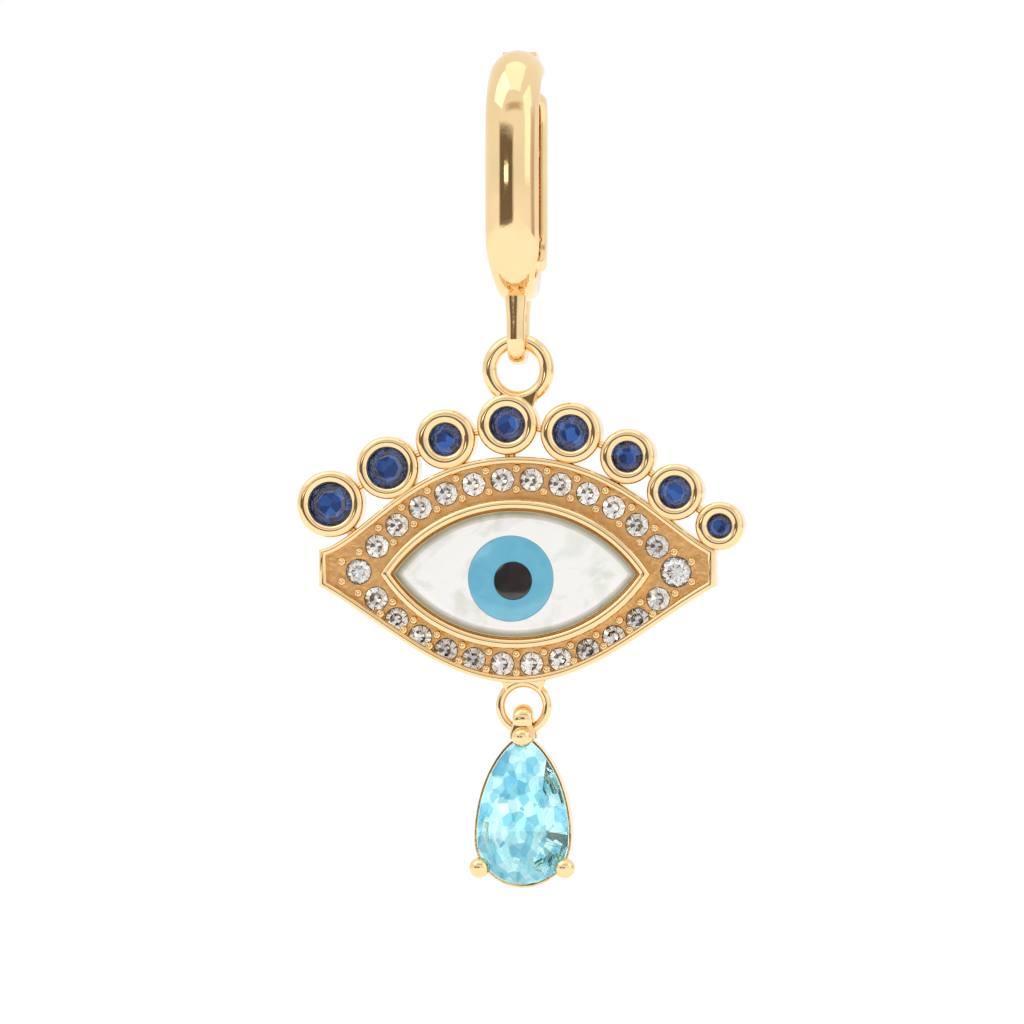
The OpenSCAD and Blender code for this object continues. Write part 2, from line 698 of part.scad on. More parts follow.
// The pear-cut stone, grown outward by `grow`
module pear_gem(grow = 0) {
    outline = pear_outline(grow);
    n = len(outline);
    table = scaled(outline, table_share, table_lift);
    points = concat([for (p = table) [p[0], girdle_y - crown_up, p[1]]],
                    [for (p = outline) [p[0], girdle_y, p[1]]],
                    [for (p = outline) [p[0], girdle_y + girdle_t, p[1]]],
                    [[0, girdle_y + girdle_t + culet_down, table_lift]]);
    faces = concat([[for (i = [0 : n - 1]) i]],
                   [for (i = [0 : n - 1]) [i, i + n, (i + 1) % n + n, (i + 1) % n]],
                   [for (i = [0 : n - 1]) [i + n, i + 2 * n, (i + 1) % n + 2 * n, (i + 1) % n + n]],
                   [for (i = [0 : n - 1]) [i + 2 * n, 3 * n, (i + 1) % n + 2 * n]]);
    translate([0, -grow, 0]) polyhedron(points, faces);
}

module topaz() { color("lightskyblue") in_drop() translate([0, 0, pear_mid_z]) pear_gem(); }

// ---- Assembly --------------------------------------------------------------------------------------

bail_band();
bail_gate();
latch_tab();
hinge_pin();
bail_loop();
top_ring();
eye_frame();
eye_bezel();
back_plate();
mother_of_pearl();
iris_disc();
pupil_disc();
for (i = [0 : len(LASHES) - 1]) {
    lash_cup(i);
    lash_sapphire(i);
}
lash_webs();
ring_shoulders();
diamond_row(up_rise);  // diamonds_upper
diamond_row(-low_rise);  // diamonds_lower
corner_diamond(-1, left_gem_r);  // corner_diamond_left
corner_diamond(1, right_gem_r);  // corner_diamond_right
pave_beads();
low_ring_shoulders();
low_ring();
drop_hanger();
drop_basket();
drop_claw(90);  // drop_claw_top
drop_claw(LOW_CLAWS[0]);  // drop_claw_left
drop_claw(LOW_CLAWS[1]);  // drop_claw_right
topaz();
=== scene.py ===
import math
from collections import namedtuple

import bmesh
import bpy
from bpy.props import FloatProperty, FloatVectorProperty, IntProperty, PointerProperty
from mathutils import Matrix, Vector


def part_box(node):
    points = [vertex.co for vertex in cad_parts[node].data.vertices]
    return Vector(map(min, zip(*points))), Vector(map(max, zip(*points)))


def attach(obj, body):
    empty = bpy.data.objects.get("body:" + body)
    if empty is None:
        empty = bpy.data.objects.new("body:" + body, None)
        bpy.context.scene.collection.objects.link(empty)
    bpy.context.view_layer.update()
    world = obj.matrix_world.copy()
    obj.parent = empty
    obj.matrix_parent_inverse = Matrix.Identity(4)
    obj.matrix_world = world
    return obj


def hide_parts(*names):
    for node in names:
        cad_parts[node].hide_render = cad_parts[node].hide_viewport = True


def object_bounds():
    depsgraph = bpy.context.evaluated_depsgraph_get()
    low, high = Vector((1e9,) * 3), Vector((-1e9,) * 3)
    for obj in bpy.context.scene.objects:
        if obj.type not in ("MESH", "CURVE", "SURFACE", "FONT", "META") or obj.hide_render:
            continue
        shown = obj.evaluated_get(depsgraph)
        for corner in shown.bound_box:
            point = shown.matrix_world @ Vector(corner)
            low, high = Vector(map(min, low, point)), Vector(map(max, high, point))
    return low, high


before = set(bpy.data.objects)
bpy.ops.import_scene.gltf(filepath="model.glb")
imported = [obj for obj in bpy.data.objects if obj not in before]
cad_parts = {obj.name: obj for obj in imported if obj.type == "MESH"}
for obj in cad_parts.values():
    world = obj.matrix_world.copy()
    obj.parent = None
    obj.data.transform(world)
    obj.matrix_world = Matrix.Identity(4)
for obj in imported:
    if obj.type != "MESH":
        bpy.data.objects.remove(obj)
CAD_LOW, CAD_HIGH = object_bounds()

bl_info = {
    "name": "Evil Eye Charm",
    "version": (1, 0, 0),
    "blender": (4, 5, 0),
    "location": "3D View > Sidebar > Charm",
    "description": "Builds a jewelled eye charm with sapphire lashes, a pear drop and a hinged bail",
    "category": "Object",
}

# Shapes are drawn in millimetres and brought to metres when a piece is placed.
# +Z is up, the eye looks along -Y, and the origin is the chain seat inside the hoop.
MM = 0.001

# ---- Places taken from the frame -----------------------------------------------------------------


def cad_box(node):
    """Lowest and highest corner of a CAD node, in millimetres."""
    low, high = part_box(node)
    return low / MM, high / MM


def cad_middle(node):
    low, high = cad_box(node)
    return (low + high) / 2


def disc(box):
    """Middle (x, z) and radius of a round piece that faces the front, from its box."""
    low, high = box
    return ((low.x + high.x) / 2, (low.z + high.z) / 2), (high.x - low.x) / 2


def islands(node):
    """Boxes, in millimetres, of the separate solids in one CAD node, from left to right."""
    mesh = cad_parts[node].data
    bm = bmesh.new()
    bm.from_mesh(mesh)
    bmesh.ops.remove_doubles(bm, verts=bm.verts, dist=1e-6)
    seen, boxes = set(), []
    for start in bm.verts:
        if start.index in seen:
            continue
        seen.add(start.index)
        stack, low, high = [start], start.co.copy(), start.co.copy()
        while stack:
            v = stack.pop()
            low = Vector(map(min, low, v.co))
            high = Vector(map(max, high, v.co))
            for e in v.link_edges:
                other = e.other_vert(v)
                if other.index not in seen:
                    seen.add(other.index)
                    stack.append(other)
        boxes.append((low / MM, high / MM))
    bm.free()
    return sorted(boxes, key=lambda b: b[0].x)


BAND_LOW, BAND_HIGH = cad_box("bail_band")
HOOP_R = -BAND_LOW.y
TOP_ARC_Z = BAND_HIGH.z - HOOP_R
LOW_ARC_Z = BAND_LOW.z + HOOP_R
BAND_W = BAND_HIGH.x - BAND_LOW.x
BAND_BACK_W = 1.7  # width at the back of the hoop
BAND_T = BAND_HIGH.z
BAND_EDGE_T = 0.25  # thickness beside the dome
GATE_LOW, GATE_HIGH = cad_box("bail_gate")
GATE_R = GATE_HIGH.y
GATE_W = GATE_HIGH.x - GATE_LOW.x
GATE_T = 0.8
PIN_LOW, PIN_HIGH = cad_box("hinge_pin")
HINGE = (PIN_LOW + PIN_HIGH) / 2
PIN_R = (PIN_HIGH.z - PIN_LOW.z) / 2
KNUCKLE_R = 0.5
NECK_W = 0.66  # the gate's neck, between the hinge cheeks
GATE_SHOULDER = 119.0  # where along the hoop the neck widens, in degrees from its bottom
LOOP_LOW = cad_box("bail_loop")[0]
RING = cad_middle("top_ring")
RING_LOW, RING_HIGH = cad_box("top_ring")
RING_WIRE = RING_HIGH.y - RING_LOW.y
RING_R = (RING_HIGH.z - RING_LOW.z - RING_WIRE) / 2
LOW_RING = cad_middle("low_ring")
LOW_RING_LOW, LOW_RING_HIGH = cad_box("low_ring")
LOW_WIRE = LOW_RING_HIGH.y - LOW_RING_LOW.y
LOW_R = (LOW_RING_HIGH.z - LOW_RING_LOW.z - LOW_WIRE) / 2
BEZEL_LOW, BEZEL_HIGH = cad_box("eye_bezel")
EYE_Z = (BEZEL_LOW.z + BEZEL_HIGH.z) / 2
BEZEL_L = BEZEL_HIGH.x - BEZEL_LOW.x
BEZEL_H = BEZEL_HIGH.z - BEZEL_LOW.z
BEZEL_R = ((BEZEL_L / 2) ** 2 + (BEZEL_H / 2) ** 2) / BEZEL_H
EYE_LOW, EYE_HIGH = cad_box("eye_frame")
HALF_EYE = EYE_HIGH.x
RIM_FRONT, RIM_BACK = EYE_LOW.y, EYE_HIGH.y
LID_UP, LID_DOWN = 5.28, 4.9  # how far the lids reach above and below the middle
END_UP, END_DOWN = 1.08, 0.55  # and how far the blunt ends do
FLARE_LEFT, FLARE_RIGHT, FLARE_LOW = 0.8, 0.5, 0.45
RIM_WALL = 0.34
FLOOR_FRONT, FLOOR_BACK = RIM_FRONT + 0.4, RIM_FRONT + 1.2
STONE_Y = FLOOR_FRONT - 0.05  # front of a diamond's girdle
PEARL_LOW, PEARL_HIGH = cad_box("mother_of_pearl")
BEVEL_T = 0.17  # how far the bevel of the mother-of-pearl falls from its table
IRIS = cad_box("iris_disc")
PUPIL = cad_box("pupil_disc")
TOPAZ_LOW, TOPAZ_HIGH = cad_box("topaz")
PEAR_W = TOPAZ_HIGH.x - TOPAZ_LOW.x
PEAR_R = PEAR_W / 2
PEAR_H = TOPAZ_HIGH.z - TOPAZ_LOW.z
PEAR_MID = Vector(((TOPAZ_LOW.x + TOPAZ_HIGH.x) / 2, 0, TOPAZ_LOW.z + PEAR_R))
GIRDLE_Y = -0.35  # front of the topaz's girdle
BASKET_BACK = 1.05  # how far back the drop's setting goes
LASHES = 8
CROWN = 4  # the lash cup that carries the upper ring

Lash = namedtuple("Lash", "middle cup_r stone_r front back")

# ---- Mesh helpers --------------------------------------------------------------------------------


SHARP = 34  # an edge between faces that meet at more degrees than this isn't smoothed
DOUBLES = 1e-4  # points closer than this are one


def make_object(name, points, faces, smooth=True, sharp=SHARP):
    """A closed mesh in millimetres, merged, with its faces turned outward."""
    mesh = bpy.data.meshes.new(name)
    mesh.from_pydata([tuple(p) for p in points], [], faces)
    tidy_mesh(mesh, smooth, sharp)
    obj = bpy.data.objects.new(name, mesh)
    bpy.context.scene.collection.objects.link(obj)
    return obj


def tidy_mesh(mesh, smooth=True, sharp=SHARP):
    bm = bmesh.new()
    bm.from_mesh(mesh)
    bmesh.ops.remove_doubles(bm, verts=bm.verts, dist=DOUBLES)
    bmesh.ops.dissolve_degenerate(bm, edges=bm.edges, dist=DOUBLES / 10)
    bmesh.ops.recalc_face_normals(bm, faces=bm.faces)
    bm.to_mesh(mesh)
    bm.free()
    mesh.polygons.foreach_set("use_smooth", [smooth] * len(mesh.polygons))
    if smooth:
        mesh.set_sharp_from_angle(angle=math.radians(sharp))
    mesh.update()


def ring_faces(count, size, closed=False, offset=0):
    """Quads between `count` rings of `size` points; closed also joins the last to the first."""
    faces = []
    for i in range(count if closed else count - 1):
        a, b = offset + i * size, offset + (i + 1) % count * size
        for j in range(size):
            k = (j + 1) % size
            faces.append((a + j, a + k, b + k, b + j))
    return faces


def loft(name, rings, closed=False, caps=True, smooth=True, sharp=SHARP):
    """A skin over rings of equally many points, with flat caps where it is open."""
    size = len(rings[0])
    points = [p for ring in rings for p in ring]
    faces = ring_faces(len(rings), size, closed)
    if not closed and caps:
        faces.append(tuple(range(size)))
        faces.append(tuple(range(len(points) - size, len(points))))
    return make_object(name, points, faces, smooth, sharp)


def lathe_y(name, at, profile, segments=96, closed=False, sharp=SHARP):
    """Turns (radius, y) points about the y line through (x, z). Zero radii close the poles."""
    rings = []
    for radius, y in profile:
        rings.append([
            (at[0] + radius * math.cos(2 * math.pi * k / segments), y,
             at[1] + radius * math.sin(2 * math.pi * k / segments))
            for k in range(segments)
        ])
    return loft(name, rings, closed=closed, caps=False, sharp=sharp)


def lathe_x(name, at, profile, segments=48, sharp=SHARP):
    """Turns (radius, x) points about the x line through (y, z)."""
    rings = []
    for radius, x in profile:
        rings.append([
            (x, at[0] + radius * math.cos(2 * math.pi * k / segments),
             at[1] + radius * math.sin(2 * math.pi * k / segments))
            for k in range(segments)
        ])
    return loft(name, rings, caps=False, sharp=sharp)


def plug(at, radius, front=-2.0, back=2.0, segments=96):
    """A plain cylinder along y, to cut with."""
    return lathe_y("plug", at, [(0.0, front), (radius, front), (radius, back), (0.0, back)], segments)


def block(name, middle, size):
    """A plain box."""
    bm = bmesh.new()
    bmesh.ops.create_cube(bm, size=1.0)
    mesh = bpy.data.meshes.new(name)
    bm.to_mesh(mesh)
    bm.free()
    mesh.transform(Matrix.Translation(middle) @ Matrix.Diagonal((*size, 1.0)))
    obj = bpy.data.objects.new(name, mesh)
    bpy.context.scene.collection.objects.link(obj)
    return obj


def torus_y(name, at, radius, wire, around=160, across=40):
    """A round wire ring in the x-z plane."""
    rings = []
    for i in range(around):
        a = 2 * math.pi * i / around
        rings.append([
            (at[0] + (radius + wire / 2 * math.cos(b)) * math.cos(a), wire / 2 * math.sin(b),
             at[1] + (radius + wire / 2 * math.cos(b)) * math.sin(a))
            for b in (2 * math.pi * j / across for j in range(across))
        ])
    return loft(name, rings, closed=True)


def bake_modifiers(obj):
    """Turns the object and its modifiers into one plain mesh."""
    graph = bpy.context.evaluated_depsgraph_get()
    mesh = bpy.data.meshes.new_from_object(obj.evaluated_get(graph))
    old = obj.data
    obj.modifiers.clear()
    obj.data = mesh
    mesh.name = obj.name
    bpy.data.meshes.remove(old)


def discard(*objs):
    for obj in objs:
        mesh = obj.data
        bpy.data.objects.remove(obj)
        bpy.data.meshes.remove(mesh)


def combine(obj, other, operation, sharp=SHARP, smooth=True):
    """Boolean of two closed meshes; the second is used up."""
    cut = obj.modifiers.new("cut", "BOOLEAN")
    cut.operation = operation
    cut.solver = "EXACT"
    cut.use_self = operation != "INTERSECT"
    cut.object = other
    bpy.context.view_layer.update()
    bake_modifiers(obj)
    discard(other)
    if len(obj.data.polygons) == 0:
        raise RuntimeError(f"{obj.name} was lost in a boolean")
    tidy_mesh(obj.data, smooth, sharp)
    return obj


def join(name, objs):
    """Several meshes as one object, each kept as it is."""
    bm = bmesh.new()
    for obj in objs:
        bm.from_mesh(obj.data)
    mesh = bpy.data.meshes.new(name)
    bm.to_mesh(mesh)
    bm.free()
    discard(*objs)
    obj = bpy.data.objects.new(name, mesh)
    bpy.context.scene.collection.objects.link(obj)
    return obj


def set_piece(obj, body, nodes, material):
    """Brings a finished piece to metres and hands it to the frame."""
    obj.data.transform(Matrix.Scale(MM, 4))
    obj.data.materials.clear()
    obj.data.materials.append(material)
    obj.data.update()
    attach(obj, body)
    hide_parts(*nodes)
    return obj


# ---- Materials -----------------------------------------------------------------------------------


class Recipe:
    """A node material: a Principled surface and helpers to feed it from patterns in millimetres."""

    def __init__(self, name):
        self.material = bpy.data.materials.new(name)
        self.material.use_nodes = True
        self.tree = self.material.node_tree
        self.surface = self.tree.nodes["Principled BSDF"]
        coords = self.tree.nodes.new("ShaderNodeTexCoord")
        scale = self.tree.nodes.new("ShaderNodeMapping")
        scale.inputs["Scale"].default_value = (1 / MM, 1 / MM, 1 / MM)
        self.tree.links.new(coords.outputs["Object"], scale.inputs["Vector"])
        self.place = scale.outputs["Vector"]

    def set(self, **values):
        """Sets the surface's own sockets; an underscore stands for a space in a socket's name."""
        for key, value in values.items():
            self.surface.inputs[key.replace("_", " ")].default_value = value
        return self

    def noise(self, scale, detail=3.0, distortion=0.0):
        node = self.tree.nodes.new("ShaderNodeTexNoise")
        node.inputs["Scale"].default_value = scale
        node.inputs["Detail"].default_value = detail
        node.inputs["Distortion"].default_value = distortion
        self.tree.links.new(self.place, node.inputs["Vector"])
        return node.outputs["Fac"]

    def ramp(self, factor, stops):
        node = self.tree.nodes.new("ShaderNodeValToRGB")
        band = node.color_ramp
        while len(band.elements) < len(stops):
            band.elements.new(0.5)
        for element, (place, color) in zip(band.elements, stops):
            element.position = place
            element.color = color
        self.tree.links.new(factor, node.inputs["Fac"])
        return node.outputs["Color"]

    def feed(self, socket, output):
        self.tree.links.new(output, self.surface.inputs[socket])
        return self

    def span(self, factor, low, high):
        node = self.tree.nodes.new("ShaderNodeMapRange")
        node.inputs["To Min"].default_value = low
        node.inputs["To Max"].default_value = high
        self.tree.links.new(factor, node.inputs["Value"])
        return node.outputs["Result"]

    def bump(self, height, strength, distance):
        node = self.tree.nodes.new("ShaderNodeBump")
        node.inputs["Strength"].default_value = strength
        node.inputs["Distance"].default_value = distance * MM
        self.tree.links.new(height, node.inputs["Height"])
        self.tree.links.new(node.outputs["Normal"], self.surface.inputs["Normal"])
        return self


def toned(color, red, green, blue):
    """The colour with each of its parts multiplied."""
    return (color[0] * red, color[1] * green, color[2] * blue, 1.0)


def gold_recipe(name, color, haze, dent, dent_strength, dent_scale):
    """Gold: a slow drift of tone, polishing haze between two roughnesses, and dents of `dent`
    millimetres, closer together with a larger scale."""
    recipe = Recipe(name).set(Metallic=1.0)
    drift = recipe.noise(0.55, 2.0)
    recipe.feed("Base Color", recipe.ramp(drift, [(0.35, toned(color, 0.94, 0.94, 0.94)), (0.65, color)]))
    recipe.feed("Roughness", recipe.span(recipe.noise(3.2, 5.0), *haze))
    recipe.bump(recipe.noise(dent_scale, 3.0, 0.4), dent_strength, dent)
    return recipe.material


def gem_recipe(name, reflection_tones, ior, clarity, reflection_patch, stretch=1.0):
    """A cut stone with painted reflections: flat-sided patches of about the given size in millimetres,
    in the given lighter and darker tones, stand in for the light and dark that its facets mirror;
    clarity is the share of light that goes through it."""
    recipe = Recipe(name).set(Metallic=0.0, IOR=ior, Roughness=0.0, Transmission_Weight=clarity)
    fit = recipe.tree.nodes.new("ShaderNodeMapping")
    fit.inputs["Scale"].default_value = (1.0, 1.0, 1.0 / stretch)
    recipe.tree.links.new(recipe.place, fit.inputs["Vector"])
    # Painted reflections: flat patches in lighter and darker tones of the stone's colour stand in for the
    # light and dark that the facets mirror.
    cells = recipe.tree.nodes.new("ShaderNodeTexVoronoi")
    cells.inputs["Scale"].default_value = 1.0 / reflection_patch
    recipe.tree.links.new(fit.outputs["Vector"], cells.inputs["Vector"])
    pick = recipe.tree.nodes.new("ShaderNodeSeparateColor")
    recipe.tree.links.new(cells.outputs["Color"], pick.inputs["Color"])
    steps = [(k / len(reflection_tones), (*tone, 1.0)) for k, tone in enumerate(reflection_tones)]
    color = recipe.ramp(pick.outputs["Red"], steps)
    color.node.color_ramp.interpolation = "CONSTANT"
    return recipe.feed("Base Color", color).material


def shaded(color, *shares):
    """The colour once per share, darker or lighter by it."""
    return [tuple(min(1.0, c * share) for c in color[:3]) for share in shares]


def shell_recipe(name, color, table_y, bevel_t):
    """Mother-of-pearl: cloudy growth bands with a thin pearly film under a polish, and painted shade
    for the bezel's shadow, which greys the surface the further it lies behind the table, fully so
    `bevel_t` behind it."""
    recipe = Recipe(name).set(IOR=1.56, Roughness=0.16, Coat_Weight=0.6, Coat_Roughness=0.04,
                              Thin_Film_Thickness=430.0, Thin_Film_IOR=1.5)
    cloud = recipe.noise(0.5, 5.0, 1.6)
    grey, warm = toned(color, 0.82, 0.84, 0.80), toned(color, 1.0, 0.985, 0.97)
    clouds = recipe.ramp(cloud, [(0.3, grey), (0.48, color), (0.7, warm)])
    # Painted shade: the surface turns greyer the further it lies behind the table, standing in for the
    # bezel's shadow on the bevel.
    split = recipe.tree.nodes.new("ShaderNodeSeparateXYZ")
    recipe.tree.links.new(recipe.place, split.inputs["Vector"])
    depth = recipe.tree.nodes.new("ShaderNodeMapRange")
    depth.inputs["From Min"].default_value = table_y
    depth.inputs["From Max"].default_value = table_y + bevel_t
    recipe.tree.links.new(split.outputs["Y"], depth.inputs["Value"])
    painted_bevel_shade = recipe.ramp(depth.outputs["Result"], [
        (0.04, (1.0, 1.0, 1.0, 1.0)), (0.12, (0.78, 0.80, 0.75, 1.0)), (1.0, (0.60, 0.63, 0.56, 1.0))])
    mix = recipe.tree.nodes.new("ShaderNodeMix")
    mix.data_type = "RGBA"
    mix.blend_type = "MULTIPLY"
    mix.inputs["Factor"].default_value = 1.0
    tint = [socket for socket in mix.inputs if socket.type == "RGBA"]
    recipe.tree.links.new(clouds, tint[0])
    recipe.tree.links.new(painted_bevel_shade, tint[1])
    mixed = [socket for socket in mix.outputs if socket.type == "RGBA"][0]
    recipe.feed("Base Color", mixed)
    recipe.bump(recipe.noise(1.1, 6.0, 2.2), 0.06, 0.02)
    return recipe.material


def inlay_recipe(name, color, rough, *deep):
    """A polished opaque inlay, mottled down to the given shares of its colour."""
    recipe = Recipe(name).set(IOR=1.6, Roughness=rough, Coat_Weight=0.5, Coat_Roughness=0.03)
    mottle = recipe.noise(1.4, 6.0, 0.8)
    recipe.feed("Base Color", recipe.ramp(mottle, [(0.34, toned(color, *deep)), (0.66, color)]))
    recipe.bump(recipe.noise(3.5, 4.0), 0.03, 0.01)
    return recipe.material


def steel_recipe(name, color):
    """Drawn wire, a little hazy."""
    recipe = Recipe(name).set(Metallic=1.0)
    recipe.feed("Base Color", recipe.ramp(recipe.noise(2.5, 4.0), [
        (0.35, toned(color, 0.9, 0.9, 0.9)), (0.65, color)]))
    recipe.feed("Roughness", recipe.span(recipe.noise(6.0, 4.0), 0.18, 0.32))
    return recipe.material


def paper_recipe(name, color):
    """The studio floor: matt pale paper that glows a little."""
    recipe = Recipe(name).set(Roughness=0.9, Specular_IOR_Level=0.0,
                              Emission_Color=(1.0, 1.0, 1.0, 1.0), Emission_Strength=0.14)
    recipe.feed("Base Color", recipe.ramp(recipe.noise(0.02, 3.0), [
        (0.3, toned(color, 0.985, 0.985, 0.985)), (0.7, color)]))
    return recipe.material


MATERIALS = {}


def material(key):
    """The material for one finish, made the first time that it is asked for."""
    if key not in MATERIALS:
        look = bpy.context.scene.charm_colours
        makers = {
            "gold": lambda: gold_recipe("polished_gold", look.gold, (0.03, 0.10), 0.03, 0.10, 1.6),
            # Painted shade: the gold between the stones has a darker, more orange colour, for the shade
            # in that recess.
            "channel_gold": lambda: gold_recipe("channel_gold", look.channel,
                                                (0.26, 0.40), 0.08, 0.5, 3.2),
            # Sapphire, diamond and topaz get lighter and darker copies of their colour in flat patches:
            # painted facet reflections.
            "sapphire": lambda: gem_recipe("sapphire", shaded(look.sapphire, 0.5, 0.9, 1.3, 0.7, 2.1),
                                           1.77, 0.5, 0.42),
            "diamond": lambda: gem_recipe("diamond", shaded(look.diamond, 1.0, 0.55, 0.9, 0.75, 1.0),
                                          2.2, 1.0, 0.4),
            "topaz": lambda: gem_recipe(
                "blue_topaz", shaded(look.topaz, 1.0, 1.5) + shaded(look.topaz_reflection_dark, 1.3)
                + shaded(look.topaz, 1.25, 0.85) + shaded(look.topaz_reflection_dark, 1.0) + shaded(look.topaz, 2.0),
                1.42, 0.95, 0.45, 1.3),
            "shell": lambda: shell_recipe("mother_of_pearl", look.shell, PEARL_LOW.y, BEVEL_T),
            "iris": lambda: inlay_recipe("turquoise_inlay", look.iris, 0.12, 0.8, 0.9, 0.94),
            "pupil": lambda: inlay_recipe("black_inlay", look.pupil, 0.08, 0.5, 0.5, 0.5),
            "steel": lambda: steel_recipe("hinge_steel", look.steel),
            "paper": lambda: paper_recipe("studio_paper", look.paper),
        }
        MATERIALS[key] = makers[key]()
    return MATERIALS[key]


# ---- Sizes and colours that a user would change --------------------------------------------------


class CharmSizes(bpy.types.PropertyGroup):
    """Shape settings that don't change how the pieces fit."""

    edge_round: FloatProperty(
        name="Edge rounding", description="How far the hoop's edges are rounded, in millimetres",
        default=0.07, min=0.01, max=0.12)
    band_low_taper: FloatProperty(
        name="Hoop taper", description="How much narrower the band is at the bottom of the hoop",
        default=0.34, min=0.0, max=0.4, subtype="FACTOR")
    front_bow: FloatProperty(
        name="Front bow", description="How far the hoop's front draws in above and below its middle",
        default=0.16, min=0.0, max=0.2, subtype="FACTOR")
    crown_height: FloatProperty(
        name="Crown height", description="Height of a round stone's crown as a share of its radius",
        default=0.32, min=0.2, max=0.36, subtype="FACTOR")
    table_share: FloatProperty(
        name="Table", description="Width of a round stone's table as a share of its width",
        default=0.56, min=0.5, max=0.62, subtype="FACTOR")
    turn_seed: IntProperty(
        name="Stone turns", description="Seed for how each stone of a row is turned in its seat",
        default=7, min=0)


class CharmColours(bpy.types.PropertyGroup):
    """Base colours of the finishes."""

    gold: FloatVectorProperty(
        name="Gold", description="Yellow gold", subtype="COLOR", size=4,
        default=(0.92, 0.68, 0.37, 1.0), min=0, max=1)
    # Painted shade: darker, more orange gold for the shade between the stones.
    channel: FloatVectorProperty(
        name="Channel gold", description="Gold between the stones", subtype="COLOR", size=4,
        default=(0.84, 0.49, 0.20, 1.0), min=0, max=1)
    sapphire: FloatVectorProperty(
        name="Sapphire", description="Colour of the sapphires", subtype="COLOR", size=4,
        default=(0.032, 0.10, 0.34, 1.0), min=0, max=1)
    diamond: FloatVectorProperty(
        name="Diamond", description="Colour of the diamonds", subtype="COLOR", size=4,
        default=(0.93, 0.93, 0.92, 1.0), min=0, max=1)
    topaz: FloatVectorProperty(
        name="Topaz", description="Colour of the drop", subtype="COLOR", size=4,
        default=(0.40, 0.80, 0.90, 1.0), min=0, max=1)
    # Painted reflection: the drop's darkest patches stand in for dark surroundings mirrored in its
    # facets.
    topaz_reflection_dark: FloatVectorProperty(
        name="Topaz, deep", description="Colour of the drop's darkest zones", subtype="COLOR", size=4,
        default=(0.12, 0.44, 0.60, 1.0), min=0, max=1)
    shell: FloatVectorProperty(
        name="Shell", description="Mother-of-pearl", subtype="COLOR", size=4,
        default=(0.84, 0.84, 0.81, 1.0), min=0, max=1)
    iris: FloatVectorProperty(
        name="Iris", description="Blue of the iris", subtype="COLOR", size=4,
        default=(0.145, 0.44, 0.58, 1.0), min=0, max=1)
    pupil: FloatVectorProperty(
        name="Pupil", description="Black of the pupil", subtype="COLOR", size=4,
        default=(0.025, 0.022, 0.022, 1.0), min=0, max=1)
    steel: FloatVectorProperty(
        name="Hinge pin", description="Drawn wire of the hinge pin", subtype="COLOR", size=4,
        default=(0.72, 0.66, 0.56, 1.0), min=0, max=1)
    paper: FloatVectorProperty(
        name="Studio paper", description="Floor under the charm", subtype="COLOR", size=4,
        default=(0.93, 0.93, 0.93, 1.0), min=0, max=1)


# ---- Hoop ----------------------------------------------------------------------------------------


def hoop_stations(start, end, arc_step=2.5, leg_step=0.25):
    """(angle, centre z) along the hoop from `start` to `end`, in degrees from the bottom to the
    back, over the top, down the front and on to the bottom again (360 and more)."""
    stations = []

    def arc(z, a, b):
        n = max(1, round(abs(b - a) / arc_step))
        return [(a + (b - a) * i / n, z) for i in range(n + 1)]

    def leg(angle, z0, z1):
        n = max(1, round(abs(z1 - z0) / leg_step))
        return [(angle, z0 + (z1 - z0) * i / n) for i in range(1, n)]

    stations += arc(TOP_ARC_Z, start, 270)
    stations += leg(270, TOP_ARC_Z, LOW_ARC_Z)
    stations += arc(LOW_ARC_Z, 270, end)
    return stations


def hoop_point(station, radius, x, bow=0.0):
    """A point on the hoop; bow draws the front in above and below its middle."""
    angle, z = math.radians(station[0]), station[1]
    y, z = radius * math.sin(angle), z - radius * math.cos(angle)
    if y < 0 and bow:
        high = (z - (TOP_ARC_Z + LOW_ARC_Z) / 2) / ((BAND_HIGH.z - BAND_LOW.z) / 2)
        y *= 1 - bow * high * high
    return (x, y, z)


def smoothstep(t):
    t = min(1.0, max(0.0, t))
    return t * t * (3 - 2 * t)


def band_section(width, edge):
    """Closed outline of the band as (radius, x): a dome outside, a flat inside, and edges
    rounded by `edge`."""
    half = width / 2
    sag = BAND_T - BAND_EDGE_T
    dome = ((BAND_W / 2) ** 2 + sag * sag) / (2 * sag)
    inner = HOOP_R - BAND_T
    shape = []
    steps = 24
    for i in range(steps + 1):
        x = (half - edge) * (2 * i / steps - 1)
        shape.append((HOOP_R - dome + math.sqrt(dome * dome - x * x), x))
    edge_r = HOOP_R - dome + math.sqrt(max(0.0, dome * dome - half * half))
    right = [(edge_r + 0.25 * edge, half - 0.3 * edge), (edge_r - 0.3 * edge, half),
             (inner + 0.9 * edge, half), (inner + 0.25 * edge, half - 0.25 * edge),
             (inner, half - edge)]
    left = [(r, -x) for r, x in reversed(right)]
    inside = []
    for i in range(1, 8):
        x = (half - edge) * (1 - 2 * i / 8)
        inside.append((inner, x))
    return shape + right + inside + left


def band_width(station, taper):
    """Width of the band: full in front, narrower towards the back and at the bottom."""
    angle = station[0]
    y = HOOP_R * math.sin(math.radians(angle))
    width = BAND_W - (BAND_W - BAND_BACK_W) * smoothstep(y / (0.6 * HOOP_R)) if y > 0 else BAND_W
    if angle > 270:
        taper_from, taper_over = 285, 62
        width = min(width, BAND_W * (1 - taper * smoothstep((angle - taper_from) / taper_over)))
    return width


